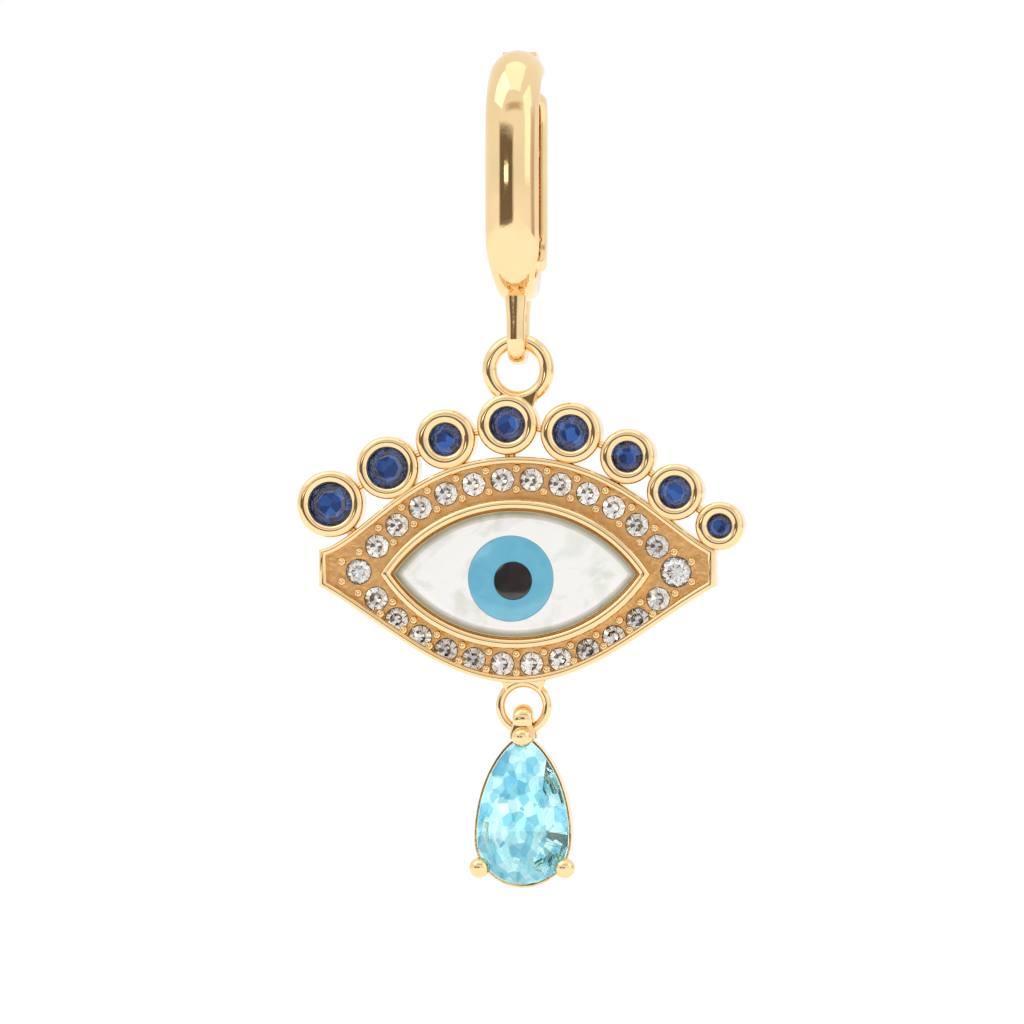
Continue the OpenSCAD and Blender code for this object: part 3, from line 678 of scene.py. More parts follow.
def strip_section(r0, r1, half, soft, outside, inside=()):
    """Closed outline (radius, x) of a strip between two radii, with eased corners and further
    points along its outside and its inside."""
    ease = 0.3 * soft
    return [(r1 - soft, -half), (r1 - ease, -half + ease), (r1, -half + soft), *outside,
            (r1, half - soft), (r1 - ease, half - ease), (r1 - soft, half),
            (r0 + soft, half), (r0 + ease, half - ease), (r0, half - soft), *inside,
            (r0, -half + soft), (r0 + ease, -half + ease), (r0 + soft, -half)]


def pin_drill(radius):
    """A rod along the hinge pin, to cut the pin's hole."""
    return lathe_x("drill", (HINGE.y, HINGE.z), [
        (0.0, -BAND_W), (radius, -BAND_W), (radius, BAND_W), (0.0, BAND_W)])


def hinge_cheek(side):
    """One of the two cheeks that hold the pin, and the arm that joins it to the band."""
    near, far = side * 0.36, side * 0.76
    lug = lathe_x("cheek", (HINGE.y, HINGE.z), [
        (0.0, near), (KNUCKLE_R - 0.05, near), (KNUCKLE_R, near + side * 0.05),
        (KNUCKLE_R, far - side * 0.08), (KNUCKLE_R - 0.08, far), (0.0, far)])
    rings = []
    for k in range(7):
        t = k / 6
        r0 = HOOP_R - BAND_T + 0.45 * (1 - t)
        r1 = HOOP_R - 0.02 - 0.05 * (1 - t)
        rings.append([hoop_point((153 + 18 * t, TOP_ARC_Z), r, x)
                      for r, x in ((r0, near), (r1, near), (r1, far), (r0, far))])
    return lug, loft("arm", rings)


def make_hoop_band(sizes):
    """The band, with its cheeks, the pin's hole and a slot that the snap tab goes into."""
    rings = []
    for station in hoop_stations(163, 410):
        section = band_section(band_width(station, sizes.band_low_taper), sizes.edge_round)
        rings.append([hoop_point(station, r, x, sizes.front_bow) for r, x in section])
    soft = 40
    band = loft("hoop_band", rings, sharp=soft)
    for piece in hinge_cheek(-1) + hinge_cheek(1):
        combine(band, piece, "UNION", soft)
    combine(band, pin_drill(PIN_R + 0.01), "DIFFERENCE", soft)
    tab_low, tab_high = cad_box("latch_tab")
    room = Vector((0.16, 0.3, 0.3))
    slot = block("slot", (tab_low + tab_high) / 2, tab_high - tab_low + room)
    return combine(band, slot, "DIFFERENCE", soft)


def gate_stations():
    """Places down the gate, close together at the shoulders, where the neck widens."""
    neck = [150 - 1.5 * i for i in range(20)]
    shoulders = [120, 119.6, 119, 118, 116.5, 114.5, 112, 109, 105, 100, 95]
    leg = [(90.0, TOP_ARC_Z - 0.25 * i) for i in range(20)]
    foot = [(90 - 2 * i, LOW_ARC_Z) for i in range(19)]
    return [(a, TOP_ARC_Z) for a in neck + shoulders] + leg + foot


def gate_width(angle, z):
    """Width of the gate: its neck, round shoulders, the leaf and a tapered foot."""
    step = 0.3
    if angle > GATE_SHOULDER:
        width = NECK_W + step * smoothstep((GATE_SHOULDER + 5 - angle) / 5)
    else:
        t = min(1.0, (GATE_SHOULDER - angle) / 9)
        width = NECK_W + step + (GATE_W - NECK_W - step) * math.sqrt(1 - (1 - t) ** 2)
    if z == LOW_ARC_Z and angle < 60:
        width -= 0.5 * min(1.0, (60 - angle) / 6) ** 2
    return width


def channel_depth(angle, z):
    """Depth of the channel along the gate's inside, which the upper arc and the foot don't have."""
    depth = 0.4
    if angle > 90:
        return 0.0
    if angle < 90:
        return depth * (1 - smoothstep((90 - angle) / 10))
    return depth * smoothstep((TOP_ARC_Z - z - 1.0) / 0.6)


def make_gate_leaf():
    """The gate: a wide leaf with a channel along its inside, and a neck up to its knuckle."""
    r0, r1 = GATE_R - GATE_T, GATE_R - 0.02
    rings = []
    for angle, z in gate_stations():
        width = gate_width(angle, z)
        half, soft = width / 2, min(0.1, width * 0.12)
        lip = min(0.32, half * 0.4)
        deep, wall = r0 + channel_depth(angle, z), half - lip - 0.04
        section = strip_section(
            r0, r1, half, soft,
            [(r1 + 0.015, -half * 0.4), (r1 + 0.02, 0.0), (r1 + 0.015, half * 0.4)],
            [(r0, half - lip), (deep, wall), (deep, 0.0), (deep, -wall), (r0, -half + lip)])
        rings.append([hoop_point((angle, z), r, x) for r, x in section])
    gate = loft("gate_leaf", rings)
    half, ease = NECK_W / 2, 0.05
    barrel = lathe_x("barrel", (HINGE.y, HINGE.z), [
        (0.0, -half), (KNUCKLE_R - ease, -half), (KNUCKLE_R, -half + ease),
        (KNUCKLE_R, half - ease), (KNUCKLE_R - ease, half), (0.0, half)])
    combine(gate, barrel, "UNION")
    return combine(gate, pin_drill(PIN_R + 0.03), "DIFFERENCE")


def make_snap_tab():
    """The snap tab, a narrow strip on the gate's lower end that slides into the band's slot."""
    half, soft = 0.35, 0.08
    r0, r1 = GATE_R - GATE_T + 0.2, GATE_R - 0.22
    section = strip_section(r0, r1, half, soft, [(r1 + 0.02, 0.0)])
    return loft("snap_tongue", [[hoop_point((angle, LOW_ARC_Z), r, x) for r, x in section]
                                for angle in range(44, 55)])


class CHARM_OT_hoop(bpy.types.Operator):
    """Builds the domed band of the hoop with its hinge cheeks, and the hinge pin"""

    bl_idname = "charm.hoop"
    bl_label = "Hoop"

    def execute(self, context):
        band = make_hoop_band(context.scene.charm_sizes)
        set_piece(band, "bail", ["bail_band"], material("gold"))
        end, ease = PIN_HIGH.x, 0.05
        pin = lathe_x("hinge_rivet", (HINGE.y, HINGE.z), [
            (0.0, -end), (PIN_R * 0.7, -end), (PIN_R, -end + ease),
            (PIN_R, end - ease), (PIN_R * 0.7, end), (0.0, end)], segments=32)
        set_piece(pin, "bail", ["hinge_pin"], material("steel"))
        return {"FINISHED"}


class CHARM_OT_gate(bpy.types.Operator):
    """Builds the hinged gate and the snap tab on its lower end"""

    bl_idname = "charm.gate"
    bl_label = "Gate"

    def execute(self, context):
        set_piece(make_gate_leaf(), "gate", ["bail_gate"], material("gold"))
        set_piece(make_snap_tab(), "gate", ["latch_tab"], material("gold"))
        return {"FINISHED"}


def dome_points(r, crown, half, fall):
    """The domed outside of a strap as (radius, x). Its sides fall by nearly `crown`, and by less
    the lower `fall` is."""
    shape = []
    for i in range(17):
        u = 2 * i / 16 - 1
        shape.append((r - crown * (1 - math.sqrt(1 - fall * u * u)), half * u))
    return shape


def swung(angle, z, r, x, x0=0.0):
    """A point at radius r about the x line through z, `angle` degrees from straight down."""
    a = math.radians(angle)
    return (x0 + x, r * math.sin(a), z - r * math.cos(a))


class CHARM_OT_strap_loop(bpy.types.Operator):
    """Builds the strap loop under the hoop, seen edge on from the front"""

    bl_idname = "charm.strap_loop"
    bl_label = "Strap Loop"

    def execute(self, context):
        hole_r, hole_h, strap_t = 0.55, 1.75, 0.68
        low = LOOP_LOW.z + strap_t + hole_r
        high = low + hole_h - 2 * hole_r
        leg = [(-90.0, BAND_LOW.z + up) for up in (0.45, 0.2, -0.1, -0.5, -0.9)] + [(-90.0, low + 0.25)]
        path = leg + [(-90 + 180 * i / 48, low) for i in range(49)]
        path += [(90.0, z) for _, z in reversed(leg)]
        strap = loft("strap_loop", [self.section(*place, hole_r, strap_t) for place in path], sharp=40)
        combine(strap, self.saddle(high, hole_r), "UNION", 40)
        set_piece(strap, "bail", ["bail_loop"], material("gold"))
        return {"FINISHED"}

    def section(self, angle, z, hole_r, strap_t):
        """Outline of the strap: domed outside, wider near the band, narrower at its tip."""
        tip = max(0.0, math.cos(math.radians(angle)))
        wide = 0.8 + 0.14 * smoothstep((z - BAND_LOW.z + 0.75) / 0.9) - 0.08 * tip
        half, r0, r1 = wide / 2, hole_r, hole_r + strap_t
        crown = strap_t * (0.42 - 0.16 * tip)
        shape = dome_points(r1, crown, half, 0.93)
        shape += [(r0 + 0.1, half), (r0 + 0.03, half - 0.03), (r0, half - 0.1),
                  (r0, -half + 0.1), (r0 + 0.03, -half + 0.03), (r0 + 0.1, -half)]
        return [swung(angle, z, r, x) for r, x in shape]

    def saddle(self, z, hole_r):
        """The rounded bridge that closes the strap's hole at the top."""
        half_w, half_t = 0.36, 0.3
        rings = []
        for i in range(33):
            angle = 90 + 180 * i / 32
            turns = [2 * math.pi * j / 12 for j in range(12)]
            rings.append([swung(angle, z, hole_r + half_t + half_t * math.cos(b), half_w * math.sin(b))
                          for b in turns])
        return loft("saddle", rings)


# ---- Rings ---------------------------------------------------------------------------------------


def shoulder_pair(name, at, ring_r, wire, half_top, half_low, top, low, depth):
    """Two curved shoulders beside a ring: a block with rounded faces, less the ring and its hole."""
    outline = [(-half_low, low), (half_low, low), (half_top, top), (-half_top, top)]
    rings = []
    for y, grow in ((-depth, -0.12), (-depth * 0.8, -0.03), (-depth * 0.45, 0.0),
                    (depth * 0.45, 0.0), (depth * 0.8, -0.03), (depth, -0.12)):
        rings.append([(at[0] + x * (1 + grow / half_top), y, z) for x, z in outline])
    shoulders = loft(name, rings, sharp=50)
    room = 0.06
    combine(shoulders, torus_y("hollow", at, ring_r, wire + room, 120, 28), "DIFFERENCE", 50)
    return combine(shoulders, plug(at, ring_r), "DIFFERENCE", 50)


class CHARM_OT_upper_ring(bpy.types.Operator):
    """Builds the upper ring and the shoulders that carry it on the crown cup"""

    bl_idname = "charm.upper_ring"
    bl_label = "Upper Ring"

    def execute(self, context):
        ring = torus_y("ring_upper", (RING.x, RING.z), RING_R, RING_WIRE)
        set_piece(ring, "upper_ring", ["top_ring"], material("gold"))
        low, high = cad_box("ring_shoulders")
        shoulders = shoulder_pair("ring_saddle", (RING.x, RING.z), RING_R, RING_WIRE,
                                  high.x, high.x * 0.72, high.z, low.z, high.y)
        cup_at, cup_r = disc(cad_box(f"lash_cup_{CROWN}"))
        combine(shoulders, plug(cup_at, cup_r - 0.02), "DIFFERENCE", 50)
        set_piece(shoulders, "eye", ["ring_shoulders"], material("gold"))
        return {"FINISHED"}


class CHARM_OT_lower_ring(bpy.types.Operator):
    """Builds the ring that the drop hangs in and its small shoulders"""

    bl_idname = "charm.lower_ring"
    bl_label = "Lower Ring"

    def execute(self, context):
        ring = torus_y("ring_lower", (LOW_RING.x, LOW_RING.z), LOW_R, LOW_WIRE, 128, 32)
        set_piece(ring, "lower_ring", ["low_ring"], material("gold"))
        low, high = cad_box("low_ring_shoulders")
        half = (high.x - low.x) / 2
        shoulders = shoulder_pair("drop_saddle", (LOW_RING.x, LOW_RING.z), LOW_R, LOW_WIRE,
                                  half, half * 0.78, high.z - 0.03, low.z, high.y)
        set_piece(shoulders, "eye", ["low_ring_shoulders"], material("gold"))
        return {"FINISHED"}


# ---- Eye -----------------------------------------------------------------------------------------


def lid(u, flare, power):
    return (1 - u * u) * (1 - flare * abs(u) ** power)


def upper_lid(x):
    u = x / HALF_EYE
    return END_UP + (LID_UP - END_UP) * lid(u, FLARE_LEFT if x < 0 else FLARE_RIGHT, 4)


def lower_lid(x):
    return END_DOWN + (LID_DOWN - END_DOWN) * lid(x / HALF_EYE, FLARE_LOW, 2)


def stretch(curve, x):
    slope = (curve(x + 0.01) - curve(x - 0.01)) / 0.02
    return math.hypot(1, slope)


def eye_ring(inset, y, steps=150):
    """The eye's outline moved in by `inset`, as a ring at depth y."""
    half = HALF_EYE - inset
    ring = []
    for i in range(steps + 1):
        x = -half + 2 * half * i / steps
        ring.append((x, y, EYE_Z + upper_lid(x) - inset * stretch(upper_lid, x)))
    for i in range(steps + 1):
        x = half - 2 * half * i / steps
        ring.append((x, y, EYE_Z - lower_lid(x) + inset * stretch(lower_lid, x)))
    return ring


def marquise_ring(inset, y, steps=120):
    """The bezel's outline moved in by `inset`, as a ring at depth y."""
    radius = BEZEL_R - inset
    drop = BEZEL_R - BEZEL_H / 2
    reach = math.sqrt(radius * radius - drop * drop)
    swing = math.asin(reach / radius)
    ring = []
    for i in range(steps):
        a = -swing + 2 * swing * i / steps
        ring.append((radius * math.sin(a), y, EYE_Z + radius * math.cos(a) - drop))
    for i in range(steps):
        a = swing - 2 * swing * i / steps
        ring.append((radius * math.sin(a), y, EYE_Z - radius * math.cos(a) + drop))
    return ring


def circle_ring(at, radius, y, like):
    """A circle whose points lie in the same directions from its middle as those of `like`."""
    ring = []
    for x, _, z in like:
        a = math.atan2(z - at[1], x - at[0])
        ring.append((at[0] + radius * math.cos(a), y, at[1] + radius * math.sin(a)))
    return ring


def blend_ring(a, b, t):
    return [tuple(p + (q - p) * t for p, q in zip(u, v)) for u, v in zip(a, b)]


class CHARM_OT_eye_frame(bpy.types.Operator):
    """Builds the rim of the eye and the floor with a drilled seat for each diamond"""

    bl_idname = "charm.eye_frame"
    bl_label = "Eye Frame"

    def execute(self, context):
        wall = RIM_WALL
        section = [(0.05, RIM_BACK), (0.0, RIM_BACK - 0.06), (0.0, FLOOR_BACK), (0.0, RIM_FRONT + 0.13),
                   (0.03, RIM_FRONT + 0.05), (0.09, RIM_FRONT + 0.01), (0.16, RIM_FRONT),
                   (0.24, RIM_FRONT + 0.015), (0.30, RIM_FRONT + 0.06), (wall, RIM_FRONT + 0.15),
                   (wall, FLOOR_FRONT), (wall, FLOOR_BACK), (wall, RIM_BACK - 0.06),
                   (wall - 0.05, RIM_BACK)]
        rim = loft("rim_wall", [eye_ring(i, y) for i, y in section], closed=True, sharp=36)
        self.clear_cups(rim)
        set_piece(rim, "eye", ["eye_frame"], material("gold"))

        bite = 0.02
        floor = loft("stone_floor", [eye_ring(wall - bite, FLOOR_FRONT),
                                     eye_ring(wall - bite, FLOOR_BACK)], sharp=30)
        drills = [loft("drill", [marquise_ring(bite, -3.0), marquise_ring(bite, 3.0)])]
        for node in ("diamonds_upper", "diamonds_lower", "corner_diamond_left", "corner_diamond_right"):
            drills += [self.seat_drill(*disc(box)) for box in islands(node)]
        combine(floor, join("drills", drills), "DIFFERENCE", 30)
        # The floor between the stones takes the gold with painted shade.
        set_piece(floor, "eye", ["eye_frame"], material("channel_gold"))
        return {"FINISHED"}

    def seat_drill(self, at, r):
        """A cutter for one stone's seat: its girdle's bore, a cone and a hole out of the back."""
        bore, hole_r, front, back = r + 0.03, 0.24, STONE_Y - 1, FLOOR_BACK + 1
        return lathe_y("drill", at, [
            (0.0, front), (bore, front), (bore, STONE_Y + 0.1 * r), (hole_r + 0.02, STONE_Y + 0.8 * r),
            (hole_r, back), (0.0, back)], segments=32)

    def clear_cups(self, rim):
        """Hollows the rim where a cup dips into it."""
        for i in range(1, LASHES + 1):
            box = cad_box(f"lash_cup_{i}")
            at, r = disc(box)
            r -= 0.01
            if at[1] - r < EYE_Z + upper_lid(at[0]):
                combine(rim, plug(at, r, box[0].y - 1, RIM_BACK + 1, 72), "DIFFERENCE", 36)


class CHARM_OT_bezel(bpy.types.Operator):
    """Builds the marquise bezel with its inner lip, and the plate behind it"""

    bl_idname = "charm.bezel"
    bl_label = "Bezel"

    def execute(self, context):
        front, back = BEZEL_LOW.y, BEZEL_HIGH.y
        section = [(0.06, back), (0.0, back - 0.06), (0.0, front + 0.5), (0.0, front + 0.3),
                   (0.015, front + 0.2), (0.05, front + 0.115), (0.11, front + 0.045),
                   (0.18, front + 0.01), (0.25, front), (0.32, front + 0.01), (0.39, front + 0.045),
                   (0.43, front + 0.095), (0.445, front + 0.19), (0.465, front + 0.19),
                   (0.475, front + 0.11), (0.50, front + 0.075), (0.545, front + 0.075),
                   (0.575, front + 0.115), (0.58, front + 0.21), (0.52, front + 0.23),
                   (0.50, front + 0.26), (0.50, back)]
        bezel = loft("marquise_bezel", [marquise_ring(i, y) for i, y in section], closed=True, sharp=40)
        set_piece(bezel, "eye", ["eye_bezel"], material("gold"))
        low, high = cad_box("back_plate")
        plate_rings = [marquise_ring(0.49, low.y), marquise_ring(0.49, high.y - 0.1),
                       marquise_ring(0.52, high.y - 0.03), marquise_ring(0.60, high.y - 0.01),
                       marquise_ring(0.9, high.y), marquise_ring(1.6, high.y)]
        plate = loft("back_cover", plate_rings, sharp=40)
        set_piece(plate, "eye", ["back_plate"], material("gold"))
        return {"FINISHED"}


class CHARM_OT_inlay(bpy.types.Operator):
    """Builds the bevelled mother-of-pearl with its blue iris and black pupil"""

    bl_idname = "charm.inlay"
    bl_label = "Eye Inlay"

    def execute(self, context):
        front = PEARL_LOW.y
        iris_at, iris_r = disc(IRIS)
        pupil_at, pupil_r = disc(PUPIL)
        depth = IRIS[1].y
        edge_inset, table_inset = 0.52, 0.90
        outer = marquise_ring(edge_inset, PEARL_HIGH.y)
        edge = marquise_ring(edge_inset, front + BEVEL_T)
        bevel = marquise_ring(table_inset - 0.04, front + 0.012)
        table = marquise_ring(table_inset, front)
        mouth = circle_ring(iris_at, iris_r + 0.02, front, table)
        seat = circle_ring(iris_at, iris_r + 0.005, front + 0.03, table)
        bottom = circle_ring(iris_at, iris_r + 0.005, depth + 0.01, table)
        rings = [outer, edge, bevel, table] + [blend_ring(table, mouth, t / 6) for t in range(1, 6)]
        rings += [mouth, seat, bottom]
        shell = loft("shell_inlay", rings, sharp=20)
        set_piece(shell, "eye", ["mother_of_pearl"], material("shell"))
        like = circle_ring(iris_at, iris_r, front, table)
        iris_rings = [circle_ring(iris_at, iris_r, depth, like),
                      circle_ring(iris_at, iris_r, front + 0.02, like),
                      circle_ring(iris_at, iris_r - 0.02, front, like),
                      circle_ring(iris_at, iris_r - 0.06, front - 0.006, like),
                      circle_ring(pupil_at, pupil_r + 0.03, front - 0.006, like),
                      circle_ring(pupil_at, pupil_r + 0.008, front + 0.02, like),
                      circle_ring(pupil_at, pupil_r + 0.008, depth, like)]
        iris = loft("iris_inlay", iris_rings, closed=True, sharp=20)
        set_piece(iris, "eye", ["iris_disc"], material("iris"))
        pupil = lathe_y("pupil_inlay", pupil_at, [
            (0.0, depth), (pupil_r, depth), (pupil_r, front + 0.015), (pupil_r - 0.02, front - 0.006),
            (pupil_r - 0.1, front - 0.012), (0.0, front - 0.02)], segments=128)
        set_piece(pupil, "eye", ["pupil_disc"], material("pupil"))
        return {"FINISHED"}


# ---- Stones --------------------------------------------------------------------------------------


GIRDLE_SHARE = 0.08  # thickness of a round stone's girdle as a share of its radius


def cut_stone(name, girdle, scale_table, middle, girdle_y, girdle_t, crown, pavilion, culet, star=0.5):
    """A faceted stone facing -y from 2n girdle points (x, z): table, stars, kites, halves,
    girdle, lower halves and pavilion mains. Points 0, 2, 4... carry the mains."""
    n = len(girdle) // 2
    mid = Vector(middle)
    rim = [Vector(p) for p in girdle]
    table = [mid + (rim[2 * k] - mid) * scale_table for k in range(n)]
    points = [(p.x, girdle_y - crown, p.y) for p in table]
    stars = []
    for k in range(n):
        chord = (rim[2 * k] + rim[(2 * k + 2) % (2 * n)]) / 2
        edge = (table[k] + table[(k + 1) % n]) / 2
        out = edge + (rim[2 * k + 1] - edge) * star
        drop = (out - mid).length / max(1e-6, (chord - mid).length)
        drop = min(1.0, max(0.0, (drop - scale_table) / (1 - scale_table)))
        stars.append((out.x, girdle_y - crown * (1 - drop), out.y))
    points += stars
    points += [(p.x, girdle_y, p.y) for p in rim]
    points += [(p.x, girdle_y + girdle_t, p.y) for p in rim]
    low = Vector(culet)
    halves = []
    reach = 0.25  # how far out from the culet the lower halves begin
    for k in range(n):
        out = low + (rim[2 * k + 1] - low) * reach
        chord = low + ((rim[2 * k] + rim[(2 * k + 2) % (2 * n)]) / 2 - low) * reach
        share = (chord - low).length / max(1e-6, (rim[2 * k] - low).length)
        halves.append((out.x, girdle_y + girdle_t + pavilion * (1 - share * 0.98), out.y))
    points += halves
    points.append((low.x, girdle_y + girdle_t + pavilion, low.y))
    table_i, star_i, rim_i, base_i, half_i = 0, n, 2 * n, 4 * n, 6 * n
    tip = 7 * n
    faces = [tuple(range(n))]
    for k in range(n):
        nxt, prv = (k + 1) % n, (k - 1) % n
        g0, g1, g2 = rim_i + 2 * k, rim_i + 2 * k + 1, rim_i + (2 * k + 2) % (2 * n)
        b0, b1, b2 = base_i + 2 * k, base_i + 2 * k + 1, base_i + (2 * k + 2) % (2 * n)
        faces.append((table_i + k, table_i + nxt, star_i + k))
        faces.append((table_i + k, star_i + prv, g0, star_i + k))
        faces.append((star_i + k, g0, g1))
        faces.append((star_i + k, g1, g2))
        faces.append((g0, g1, b1, b0))
        faces.append((g1, g2, b2, b1))
        faces.append((half_i + k, b0, b1))
        faces.append((half_i + k, b1, b2))
        faces.append((half_i + prv, b0, half_i + k, tip))
    return make_object(name, points, faces, smooth=False)


def round_stone(name, at, y, r, sizes, turn=0.0, mains=8):
    """A round brilliant with its girdle's front at depth y."""
    girdle = []
    for j in range(2 * mains):
        a = math.radians(turn) + math.pi * j / mains
        girdle.append((at[0] + r * math.cos(a), at[1] + r * math.sin(a)))
    crown, girdle_t, pavilion = sizes.crown_height * r, GIRDLE_SHARE * r, 0.84 * r
    return cut_stone(name, girdle, sizes.table_share, at, y, girdle_t, crown, pavilion, at)


def single_stone(name, at, y, r, sizes, turn=0.0):
    """A small stone in the old single cut: eight facets above its girdle and eight below."""
    def ring(radius, depth):
        angles = (math.radians(turn) + math.pi * k / 4 for k in range(8))
        return [(at[0] + radius * math.cos(a), depth, at[1] + radius * math.sin(a)) for a in angles]

    rings = [ring(r * sizes.table_share, y - sizes.crown_height * r), ring(r, y),
             ring(r, y + GIRDLE_SHARE * r), ring(0.0, y + 0.92 * r)]
    faces = ring_faces(len(rings), 8) + [tuple(range(8))]
    return make_object(name, [p for points in rings for p in points], faces, smooth=False)


def fresh_tree(name, sockets):
    """A Geometry Nodes tree with the given named inputs; returns it with its ends."""
    tree = bpy.data.node_groups.new(name, "GeometryNodeTree")
    tree.interface.new_socket("Geometry", in_out="OUTPUT", socket_type="NodeSocketGeometry")
    ids = {}
    for label, kind, value in sockets:
        socket = tree.interface.new_socket(label, in_out="INPUT", socket_type=kind)
        if value is not None:
            socket.default_value = value
        ids[label] = socket.identifier
    start = tree.nodes.new("NodeGroupInput")
    end = tree.nodes.new("NodeGroupOutput")
    return tree, ids, start, end


def scatter_tree():
    """Copies one shape onto every point of the mesh, turned about y by a seeded amount."""
    tree, ids, start, end = fresh_tree("stones_on_seats", [
        ("Seats", "NodeSocketGeometry", None), ("Shape", "NodeSocketObject", None),
        ("Size", "NodeSocketFloat", 1.0), ("Largest turn", "NodeSocketFloat", 0.0),
        ("Seed", "NodeSocketInt", 0), ("Finish", "NodeSocketMaterial", None)])
    link = tree.links.new
    info = tree.nodes.new("GeometryNodeObjectInfo")
    place = tree.nodes.new("GeometryNodeInstanceOnPoints")
    turn = tree.nodes.new("FunctionNodeRandomValue")
    turn.data_type = "FLOAT"
    join_xyz = tree.nodes.new("ShaderNodeCombineXYZ")
    grow = tree.nodes.new("ShaderNodeCombineXYZ")
    real = tree.nodes.new("GeometryNodeRealizeInstances")
    paint = tree.nodes.new("GeometryNodeSetMaterial")
    link(start.outputs["Shape"], info.inputs["Object"])
    link(start.outputs["Seats"], place.inputs["Points"])
    link(info.outputs["Geometry"], place.inputs["Instance"])
    link(start.outputs["Largest turn"], turn.inputs["Max"])
    link(start.outputs["Seed"], turn.inputs["Seed"])
    link(turn.outputs["Value"], join_xyz.inputs["Y"])
    link(join_xyz.outputs["Vector"], place.inputs["Rotation"])
    for axis in "XYZ":
        link(start.outputs["Size"], grow.inputs[axis])
    link(grow.outputs["Vector"], place.inputs["Scale"])
    link(place.outputs["Instances"], real.inputs["Geometry"])
    link(real.outputs["Geometry"], paint.inputs["Geometry"])
    link(start.outputs["Finish"], paint.inputs["Material"])
    link(paint.outputs["Geometry"], end.inputs["Geometry"])
    return tree, ids


def scatter(name, seats, shape, turn, seed, finish):
    """One mesh with the shape on every seat, made by the scatter tree."""
    mesh = bpy.data.meshes.new(name)
    mesh.from_pydata([tuple(p) for p in seats], [], [])
    holder = bpy.data.objects.new(name, mesh)
    bpy.context.scene.collection.objects.link(holder)
    tree, ids = scatter_tree()
    modifier = holder.modifiers.new("seats", "NODES")
    modifier.node_group = tree
    for label, value in (("Shape", shape), ("Size", 1.0), ("Largest turn", turn), ("Seed", seed),
                         ("Finish", finish)):
        modifier[ids[label]] = value
    bpy.context.view_layer.update()
    bake_modifiers(holder)
    discard(shape)
    bpy.data.node_groups.remove(tree)
    return holder


class CHARM_OT_diamonds(bpy.types.Operator):
    """Sets the two rows of diamonds and the two corner stones"""

    bl_idname = "charm.diamonds"
    bl_label = "Diamonds"

    def execute(self, context):
        sizes = context.scene.charm_sizes
        for node, name, seed in (("diamonds_upper", "diamond_row_upper", 0),
                                 ("diamonds_lower", "diamond_row_lower", 1)):
            places = [disc(box) for box in islands(node)]
            seats = [(x, STONE_Y, z) for (x, z), _ in places]
            stone = single_stone("stone", (0, 0), 0, places[0][1] * 1.03, sizes)
            row = scatter(name, seats, stone, math.pi / 4, sizes.turn_seed + seed, material("diamond"))
            tidy_mesh(row.data, smooth=False)
            set_piece(row, "eye", [node], material("diamond"))
        for side, node in (("left", "corner_diamond_left"), ("right", "corner_diamond_right")):
            at, r = disc(cad_box(node))
            stone = round_stone(f"corner_stone_{side}", at, STONE_Y, r, sizes, 9)
            set_piece(stone, "eye", [node], material("diamond"))
        return {"FINISHED"}


class CHARM_OT_beads(bpy.types.Operator):
    """Raises the small dimpled beads that grip the diamonds"""

    bl_idname = "charm.beads"
    bl_label = "Grain Beads"

    def execute(self, context):
        places = [disc(box) for box in islands("pave_beads")]
        r = places[0][1] * 1.5
        seats = [self.on_floor(at, RIM_WALL + 0.6 * r) for at, _ in places]
        bead = lathe_y("bead", (0, 0), [
            (0.0, 0.03), (r, 0.03), (r, -0.08), (r * 0.93, -r * 1.0), (r * 0.72, -r * 1.4),
            (r * 0.45, -r * 1.55), (r * 0.2, -r * 1.45), (0.0, -r * 1.4)], segments=14)
        beads = scatter("grain_beads", seats, bead, 0.0, 0, material("gold"))
        tidy_mesh(beads.data, sharp=60)
        set_piece(beads, "eye", ["pave_beads"], material("gold"))
        return {"FINISHED"}

    def on_floor(self, at, least):
        """A bead's place, moved in until it is at least `least` from the eye's outline."""
        at = Vector(at)
        edge = min((Vector((p[0], p[2])) for p in eye_ring(0.0, 0.0)), key=lambda q: (at - q).length)
        if (at - edge).length < least:
            at = edge + (at - edge).normalized() * least
        return (at.x, FLOOR_FRONT, at.y)


# ---- Lashes --------------------------------------------------------------------------------------


def lash(i):
    """Where the frame has lash i and how large it is; the crown cup's box isn't square, so the
    height of its middle comes from its stone."""
    low, high = cad_box(f"lash_cup_{i}")
    (_, z), stone_r = disc(cad_box(f"lash_sapphire_{i}"))
    (x, _), cup_r = disc((low, high))
    return Lash((x, z), cup_r, stone_r, low.y, high.y)


def opening(place):
    """Radius of the cup's opening, which laps over the stone a little."""
    return place.stone_r - 0.03


def stone_seat_y(place):
    """Depth of the sapphire's girdle: the wider the cup's wall, the deeper."""
    wall = place.cup_r - opening(place) - 0.14
    return place.front + wall / 2 + 0.17


